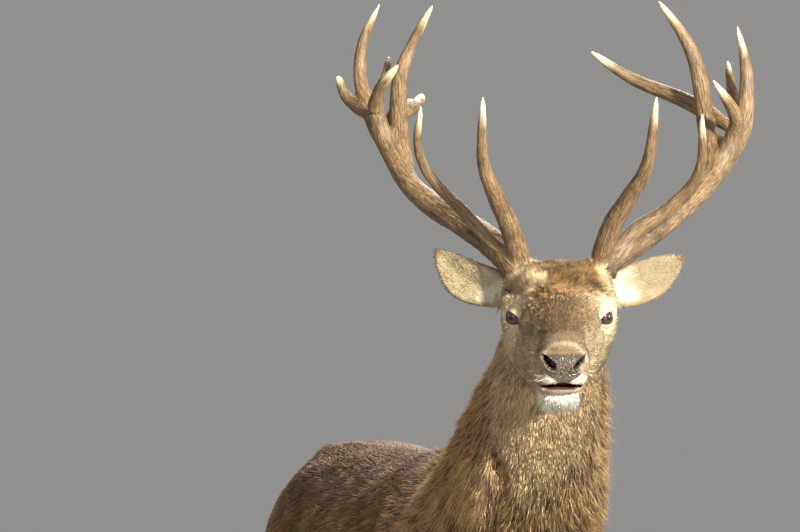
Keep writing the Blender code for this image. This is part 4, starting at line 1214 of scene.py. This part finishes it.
def lieOf(at):
    # which way the hair lies
    points, normals, local = at.points, at.normals, at.local
    side, back, up = local.T
    zero, one = np.zeros(len(points)), np.ones(len(points))
    dorsal = ease(-0.3, 0.7, normals @ np.array((0.0, 0.75, 0.66)))[:, None]
    chin = ease(-0.15, -0.19, back) * ease(-0.075, -0.095, up)
    muzzle = ease(-0.195, -0.235, back) * (1 - chin)
    low = (ease(-0.04, 0.04, back) * ease(-0.02, -0.08, up))[:, None]
    onHead = np.stack([0.25 * side / 0.1, one, -0.10 - 3.0 * np.clip(-0.02 - up, 0, 0.12)], axis=1)
    onHead += low * (np.array((0, 0.15, -1.4)) - onHead)
    onHead += chin[:, None] * (np.array((0, -0.6, -0.9)) + np.sign(side)[:, None] * np.array((0.3, 0, 0)))
    onHead += muzzle[:, None] * np.stack([side / 0.02, zero, (up + 0.036) / 0.025], axis=1) * 0.7
    for sign in sides.values():
        ray = local - mirrored(eyes["place"], sign)
        onHead += 1.6 * bell(np.linalg.norm(ray, axis=1), 0.034)[:, None] * unit(ray)
    curls = manyPatches(points, 0.026, 21)
    fringe = ease(-0.005, -0.040, back)  # falls over the brow
    tousled = np.stack([side / 0.07, 0.7 - 2.2 * fringe, 0.3 - 0.9 * fringe], axis=1) + curls * 1.3
    for sign in sides.values():
        hug = bell(np.hypot(side - 0.072 * sign, back - 0.066), 0.040)[:, None]  # around the antler's foot
        tousled = tousled * (1 - hug) + hug * (np.array((0, 0, 1.6)) + curls * 0.5)
    onHead += at.crown[:, None] * (tousled - onHead)
    for name, sign in sides.items():
        root, _, along, _, out = map(np.array, axes(name))
        spread = ((local - root) @ out)[:, None] / 0.04 * out * 0.5
        own = (at.ear * (side * sign > 0.05))[:, None]
        onHead = onHead * (1 - own) + own * (along + spread)
    lie = laid(np.stack([zero, one, -0.25 - 0.45 * np.abs(normals[:, 0])], axis=1), [
        ((0, 0.55, -0.85), ease(0.50, 0.66, points[:, 1])),
        (np.array((0, 0.10, -1.0)) * (1 - dorsal) + np.array((0, 0.72, -0.70)) * dorsal, at.mane),
        ((0, 0.22, -1.0), at.leg),
        ((0, 0.15, -1.0), at.tail),
        (onHead @ headOut[:3, :3].T, at.head),
    ])
    lie = unit(lie) + manyPatches(points, 0.035, 31) * (0.20 + 0.06 * at.mane)[:, None]
    return unit(lie - normals * (lie * normals).sum(1, keepdims=True))


def lengthOf(at):
    long, (across, back, up), onHead = coat["length"], at.local.T, at.head
    aboveLip = up - lipLevels(back, across)[0]
    lipEdge = ease(0.008, 0.002, aboveLip) * ease(-0.004, -0.001, aboveLip)
    return laid(np.full(len(back), long["trunk"]), [
        (long["belly"], ease(0.80, 0.70, at.points[:, 2])),
        (long["neck"], at.mane),
        (long["throat"], at.neck * ease(0.0, -0.8, at.normals[:, 1])),
        (long["leg"], at.leg),
        (long["tail"], at.tail),
        (long["face"] + (long["cheek"] - long["face"]) * ease(-0.07, 0.10, back), onHead),
        (long["neck"] * 0.6, onHead * (ease(-0.04, 0.08, back) * ease(-0.06, -0.14, up))),
        (long["face"] * 0.62, onHead * ease(-0.14, -0.21, back)),
        (long["face"] * 0.62, onHead * ease(-30, -16, at.lid)),
        (long["face"] * 0.30, onHead * ease(-14, -7, at.lid)),
        (long["face"] * 2.0, onHead * chinZone(at.local)),
        (long["face"] * 0.26, onHead * lipEdge * ease(-0.19, -0.21, back)),
        (long["crown"], onHead * at.crown),
        (long["ear"], at.ear),
    ])


def unwrap(at, part):
    # a place on a flat sheet for each root, rolled off the length that carries it
    x, y, z = at.points.T
    side, back, up = at.local.T

    def rolled(out, rise, place):
        return [0.5 + np.arctan2(out, rise) / 6.6, place]

    if part in ("face", "crown", "whisker"):
        flat = rolled(side, up + 0.04, (back + 0.28) / 0.56)
    elif part == "ear":
        spots = []
        for name, sign in sides.items():
            root, length, along, _, out = map(np.array, axes(name))
            ray = at.local - root
            spots.append([0.25 - 0.25 * sign + 0.25 + ray @ out * 2.2,
                          0.25 + ray @ along / length * 0.44 - 0.24 + 0.5 * at.earInner])
        flat = np.where(side > 0, *spots)
    elif part == "neck":
        rise = (z - 1.03) * 0.66 + (y + 0.43) * 0.75
        flat = rolled(x - 0.01, rise, 0.5 + ((z - 1.1) * 0.75 - (y + 0.5) * 0.66) / 1.4)
    elif part == "leg":
        quarter = (x > 0) * 0.25 + (y > 0) * 0.5
        middle = np.where(y > 0, 0.55, -0.39)
        flat = [quarter + 0.125 + np.arctan2(np.abs(x) - 0.107, middle - y) / 27, z / 0.95]
    elif part == "tail":
        flat = rolled(x, y - 0.69, (z - 0.85) / 0.35)
    else:
        flat = rolled(x, z - 0.92, (y + 0.75) / 1.5)
    return np.clip(np.stack(flat, axis=1), 0.005, 0.995)


def hairMaterial():
    look = Look("coatHair")
    strands = look.noise(look.place(), 900, 2)
    shade = look.spread(strands, 0.3, 0.7, 0.82, 1.18)
    return look.finish({
        "Base Color": look.scaled(look.attribute("tint", "Color"), shade),
        "Normal": look.bump(strands, 0.3, 0.0006),
        "Roughness": 0.62,
        "Specular IOR Level": 0.3,
    })


# kinds of tuft
lockColumns = ("width", "reach", "stray", "clump", "bleach", "vary", "mottle", "wild", "rootShade", "tipShade")
lockRows = {
    "face": (0.0015, 1.0, 0.20, 0.012, 0.08, 0.72, 0.10, 0.0, 0.62, 1.12),
    "crown": (0.0015, 1.15, 0.30, 0.014, 0.10, 0.90, 0.34, 0.02, 0.40, 1.15),
    "ear": (0.0017, 1.6, 0.20, 0.012, 0.0, 0.30, 0.12, 0.0, 0.80, 1.05),
    "neck": (0.0028, 1.0, 0.20, 0.018, 0.18, 1.50, 0.42, 0.03, 0.22, 1.34),
    "trunk": (0.0032, 0.75, 0.16, 0.025, 0.1, 0.60, 0.16, 0.0, 0.45, 1.18),
    "leg": (0.0024, 0.9, 0.13, 0.016, 0.1, 0.45, 0.12, 0.0, 0.55, 1.1),
    "tail": (0.0028, 0.9, 0.2, 0.015, 0.2, 0.5, 0.15, 0.0, 0.45, 1.15),
    "whisker": (0.0006, 14.0, 0.30, 0.012, 0.0, 0.3, 0.0, 0.0, 0.8, 1.15),
}
straight = {"rings": 1, "bend": 0.0, "curl": 0.0, "long": 1}
curved = {"rings": 3, "bend": 0.6, "curl": 0.05, "long": 4.5}
locks = {kind: {**(curved if kind == "whisker" else straight), **dict(zip(lockColumns, row))}
         for kind, row in lockRows.items()}
tuft = {
    "patch": 0.003,  # size on the piece's map
    "sunk": 0.0006,  # how deep it starts
    "ridge": 0.32, "taper": (0.8, 1.0, 0.8),
    "thinned": 0.4,
}
coatMaterial = hairMaterial()


def tuftFaces(rings):
    # three sides along each ring, closed at the root and pointed at the tip
    faces = [(0, 2, 1)]
    for k in range(0, 3 * rings - 3, 3):
        for a, b in ((0, 1), (1, 2), (2, 0)):
            faces += [(k + a, k + b, k + 3 + b), (k + a, k + 3 + b, k + 3 + a)]
    last = 3 * rings - 3
    return np.array(faces + [(last, last + 1, last + 3), (last + 1, last + 2, last + 3), (last + 2, last, last + 3)])


def growTufts(name, at, kind):
    look, count = locks[kind], len(at.points)
    rings, roots, normals = look["rings"], at.points, at.normals
    lie, clump = lieOf(at), patches(roots, look["clump"], 41)
    length = look["long"] * lengthOf(at) * (0.70 + 0.5 * chance.random(count) + 0.18 * clump)
    width = look["width"] * (0.7 + 0.6 * chance.random(count)) * np.clip(length / length.mean(), 0.5, 1.3)

    def turned(angle):
        return lie * np.cos(angle)[:, None] + np.cross(normals, lie) * np.sin(angle)[:, None]

    lie = turned(look["stray"] * chance.normal(size=count))
    reach = look["reach"] * coatDepth(at) / length  # tips end about at the coat's outline
    lift = np.arcsin(np.clip(reach, 0.06, 0.85)) * (0.55 + 0.8 * chance.random(count)) * (1 + 0.3 * clump)
    wild = chance.random(count) < look["wild"]
    lift, width = np.where(wild, lift + 0.45, lift), np.where(wild, width * 0.55, width)
    curl = look["curl"] * chance.normal(size=count)
    point = roots - normals * tuft["sunk"]
    verts = []
    for k in range(rings):
        heading = turned(curl * k)
        slope = (lift * (1 - look["bend"] * k / max(rings - 1, 1)))[:, None]
        ahead = heading * np.cos(slope) + normals * np.sin(slope)
        out = np.cross(normals, heading)
        size = (width * (tuft["taper"][k] if rings > 1 else 1.0))[:, None]
        verts += [point - out * size / 2, point + out * size / 2, point + np.cross(ahead, out) * size * tuft["ridge"]]
        point = point + ahead * (length / rings)[:, None]
    verts = np.stack([*verts, point], axis=1)
    per = verts.shape[1]
    loops = (tuftFaces(rings).ravel()[None] + per * np.arange(count)[:, None]).ravel()
    mesh = bpy.data.meshes.new(name)
    mesh.vertices.add(count * per)
    mesh.vertices.foreach_set("co", verts.astype(np.float32).ravel())
    mesh.loops.add(len(loops))
    mesh.loops.foreach_set("vertex_index", loops.astype(np.int32))
    mesh.polygons.add(len(loops) // 3)
    mesh.polygons.foreach_set("loop_start", np.arange(0, len(loops), 3, dtype=np.int32))
    mesh.update(calc_edges=True)

    hair = markings(at)
    streak = patches(roots, 0.011, 42)
    light = 0.84 + look["vary"] * (chance.random(count) - 0.40) + look["mottle"] * (streak + 0.7 * clump)
    light = np.where(wild, 1.45, light)
    pale = ease(195, 235, hair.mean(1))  # pale hair is more even
    light = light + 0.58 * pale * (1.0 - light)
    hair = hair + look["bleach"] * ease(0.95, 1.5, light)[:, None] * (np.array(shades["bleached"]) - hair)
    hair = linear(keepHue(hair * np.clip(light, 0.30, 1.45 - 0.25 * look["bleach"])[:, None], 255))
    along = np.array([k / rings for k in range(rings) for _ in range(3)] + [1.0])
    rootShade = look["rootShade"] + (0.92 - look["rootShade"]) * pale[:, None]
    shade = rootShade + (look["tipShade"] - rootShade) * along[None]
    tint = keepHue(hair[:, None, :] * shade[:, :, None], 0.95)
    setAttribute(mesh, "tint", "FLOAT_COLOR", np.concatenate([tint, np.ones((count, per, 1))], axis=2))
    spots = np.array([(x, k / rings - 0.5) for k in range(rings) for x in (-0.5, 0.5, 0.0)] + [(0.0, 0.5)])
    flat = np.clip(unwrap(at, kind)[:, None, :] + spots[None] * tuft["patch"], 0.001, 0.999).reshape(-1, 2)
    layer = mesh.uv_layers.new(name="OFBake")
    layer.data.foreach_set("uv", flat[loops].astype(np.float32).ravel())
    shadeSmooth(mesh)
    mesh.materials.append(coatMaterial)
    return finishPiece(placed(name, mesh), "coat")


furry = ease(0.6, 0.2, face.bare)
crownZone = face.crown * face.head
earZone = (face.ear > 0.02) * 1.0
legZone = face.leg * (1 - face.tail)
neckZone = face.mane * (1 - legZone) * (1 - face.head)
trunkZone = (1 - neckZone) * (1 - legZone) * (1 - face.head) * (1 - face.tail)
fineness = (0.012 / lengthOf(face)) ** 1.1
faceZone = face.head * (1 - crownZone) * (1 - earZone) * fineness
faceSide, faceBack, faceUp = face.local.T
whiskerZone = face.head * ease(-0.170, -0.195, faceBack) * (
    ease(-0.020, -0.040, faceUp) * ease(-0.072, -0.062, faceUp) * ease(0.022, 0.034, np.abs(faceSide)))
leftSide = (face.points[:, 0] > 0.012) * 1.0
leftHead = (faceSide > 0) * 1.0
frontHalf = (face.points[:, 1] < 0.02) * 1.0
aboveHoof = (face.points[:, 2] > 0.0605) * 1.0

# piece, kind of tuft, zone, number of tufts
coatPieces = [
    ("FaceLeft", "face", faceZone * leftHead, 34000),
    ("FaceRight", "face", faceZone * (1 - leftHead), 34000),
    ("Crown", "crown", crownZone, 44000),
    ("Ears", "ear", earZone, 11000),
    ("NeckLeft", "neck", neckZone * leftSide, 48000),
    ("NeckRight", "neck", neckZone * (1 - leftSide), 48000),
    ("TrunkFront", "trunk", trunkZone * frontHalf, 42000),
    ("TrunkRear", "trunk", trunkZone * (1 - frontHalf), 44000),
    ("Forelegs", "leg", legZone * frontHalf, 17000),
    ("Hindlegs", "leg", legZone * (1 - frontHalf), 21000),
    ("Tail", "tail", face.tail, 5000),
    ("Whiskers", "whisker", whiskerZone, 46),
]
for name, kind, zone, count in coatPieces:
    count = int(count * (1.0))
    made = growTufts("coat" + name, scatter(zone * furry * aboveHoof, count), kind)
    print("coat:", made.name, count, "tufts,", len(made.data.polygons), "triangles")

skinNodes = ["trunk", "neck", "head", "lower_jaw", "tail", "ear_left", "ear_right"]
skinNodes += [f"{name}_{part}" for name in body["legs"]
              for part in (("forearm" if "fore" in name else "gaskin"), "cannon", "pastern")]
finishPiece(skin, "coat", *skinNodes)


# floor, light and camera

studio = {
    "floor": (0.27, 0.267, 0.26), "floorSize": 120, "world": (0.95, 0.94, 0.93), "ambient": 0.30,
    "aim": (0, -0.45, 1.15),
    # place from the aim, size, power, colour
    "lights": {
        "key": ((4.0, -12.9, 5.3), 1.8, 7000, (1.0, 0.94, 0.84)),
        "fill": ((-5.0, -4.0, 2.5), 4.0, 30, (0.96, 0.97, 1.0)),
        "front": ((-5.2, -10.9, 5.2), 3.0, 520, (1.0, 0.97, 0.92)),
        "side": ((8.9, -2.4, 2.5), 4.0, 420, (0.97, 0.98, 1.0)),
        "rim": ((2.5, 7.5, 5.5), 6.0, 1150, (1.0, 0.95, 0.88)),
    },
}
cameraLook = {"azimuth": 15.0, "distance": 12.5, "aside": -0.2848, "lower": 0.2375, "pitch": 1.506, "lens": 315.0}


def makeFloor():
    bpy.ops.mesh.primitive_plane_add(size=studio["floorSize"])
    floor = bpy.context.object
    floor.name = "floor"
    look = Look("paleFloor")
    cloud = look.noise(look.place(), 1.5, 3)
    floor.data.materials.append(look.finish({
        "Base Color": look.mix(cloud, (*[0.96 * c for c in studio["floor"]], 1), (*studio["floor"], 1)),
        "Roughness": 0.9, "Specular IOR Level": 0.1,
    }))
    floor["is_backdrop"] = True


def makeLight(name, place, size, power, colour):
    light = bpy.data.lights.new(name, "AREA")
    light.shape, light.size, light.energy, light.color = "DISK", size, power, colour
    lamp = placed(name, light)
    aim = Vector(studio["aim"])
    lamp.location = aim + Vector(place)
    lamp.rotation_euler = (aim - lamp.location).to_track_quat("-Z", "Y").to_euler()


makeFloor()
for name, settings in studio["lights"].items():
    makeLight(name, *settings)
scene = bpy.context.scene
scene.view_settings.view_transform = "Standard"
scene.world = bpy.data.worlds.new("studio")
scene.world.use_nodes = True
background = scene.world.node_tree.nodes["Background"].inputs
background["Color"].default_value = (*studio["world"], 1)
background["Strength"].default_value = studio["ambient"]

azimuth = math.radians(cameraLook["azimuth"])
ahead = Vector((math.sin(azimuth), math.cos(azimuth), 0))
aside = Vector((math.cos(azimuth), -math.sin(azimuth), 0))
camera = placed("camera", bpy.data.cameras.new("camera"))
camera.data.lens, camera.data.sensor_width = cameraLook["lens"], 36.0
camera.data.clip_start, camera.data.clip_end = 0.5, 300.0
camera.location = stagEyes + toFrame - ahead * cameraLook["distance"] + aside * cameraLook["aside"]
camera.location.z -= cameraLook["lower"]
camera.rotation_euler = (math.radians(90 + cameraLook["pitch"]), 0, -azimuth)
scene.camera = camera

shown = sum(len(o.data.polygons) if o.name.startswith("coat") else sum(len(p.vertices) - 2 for p in o.data.polygons)
            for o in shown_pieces())
print("triangles shown:", shown)
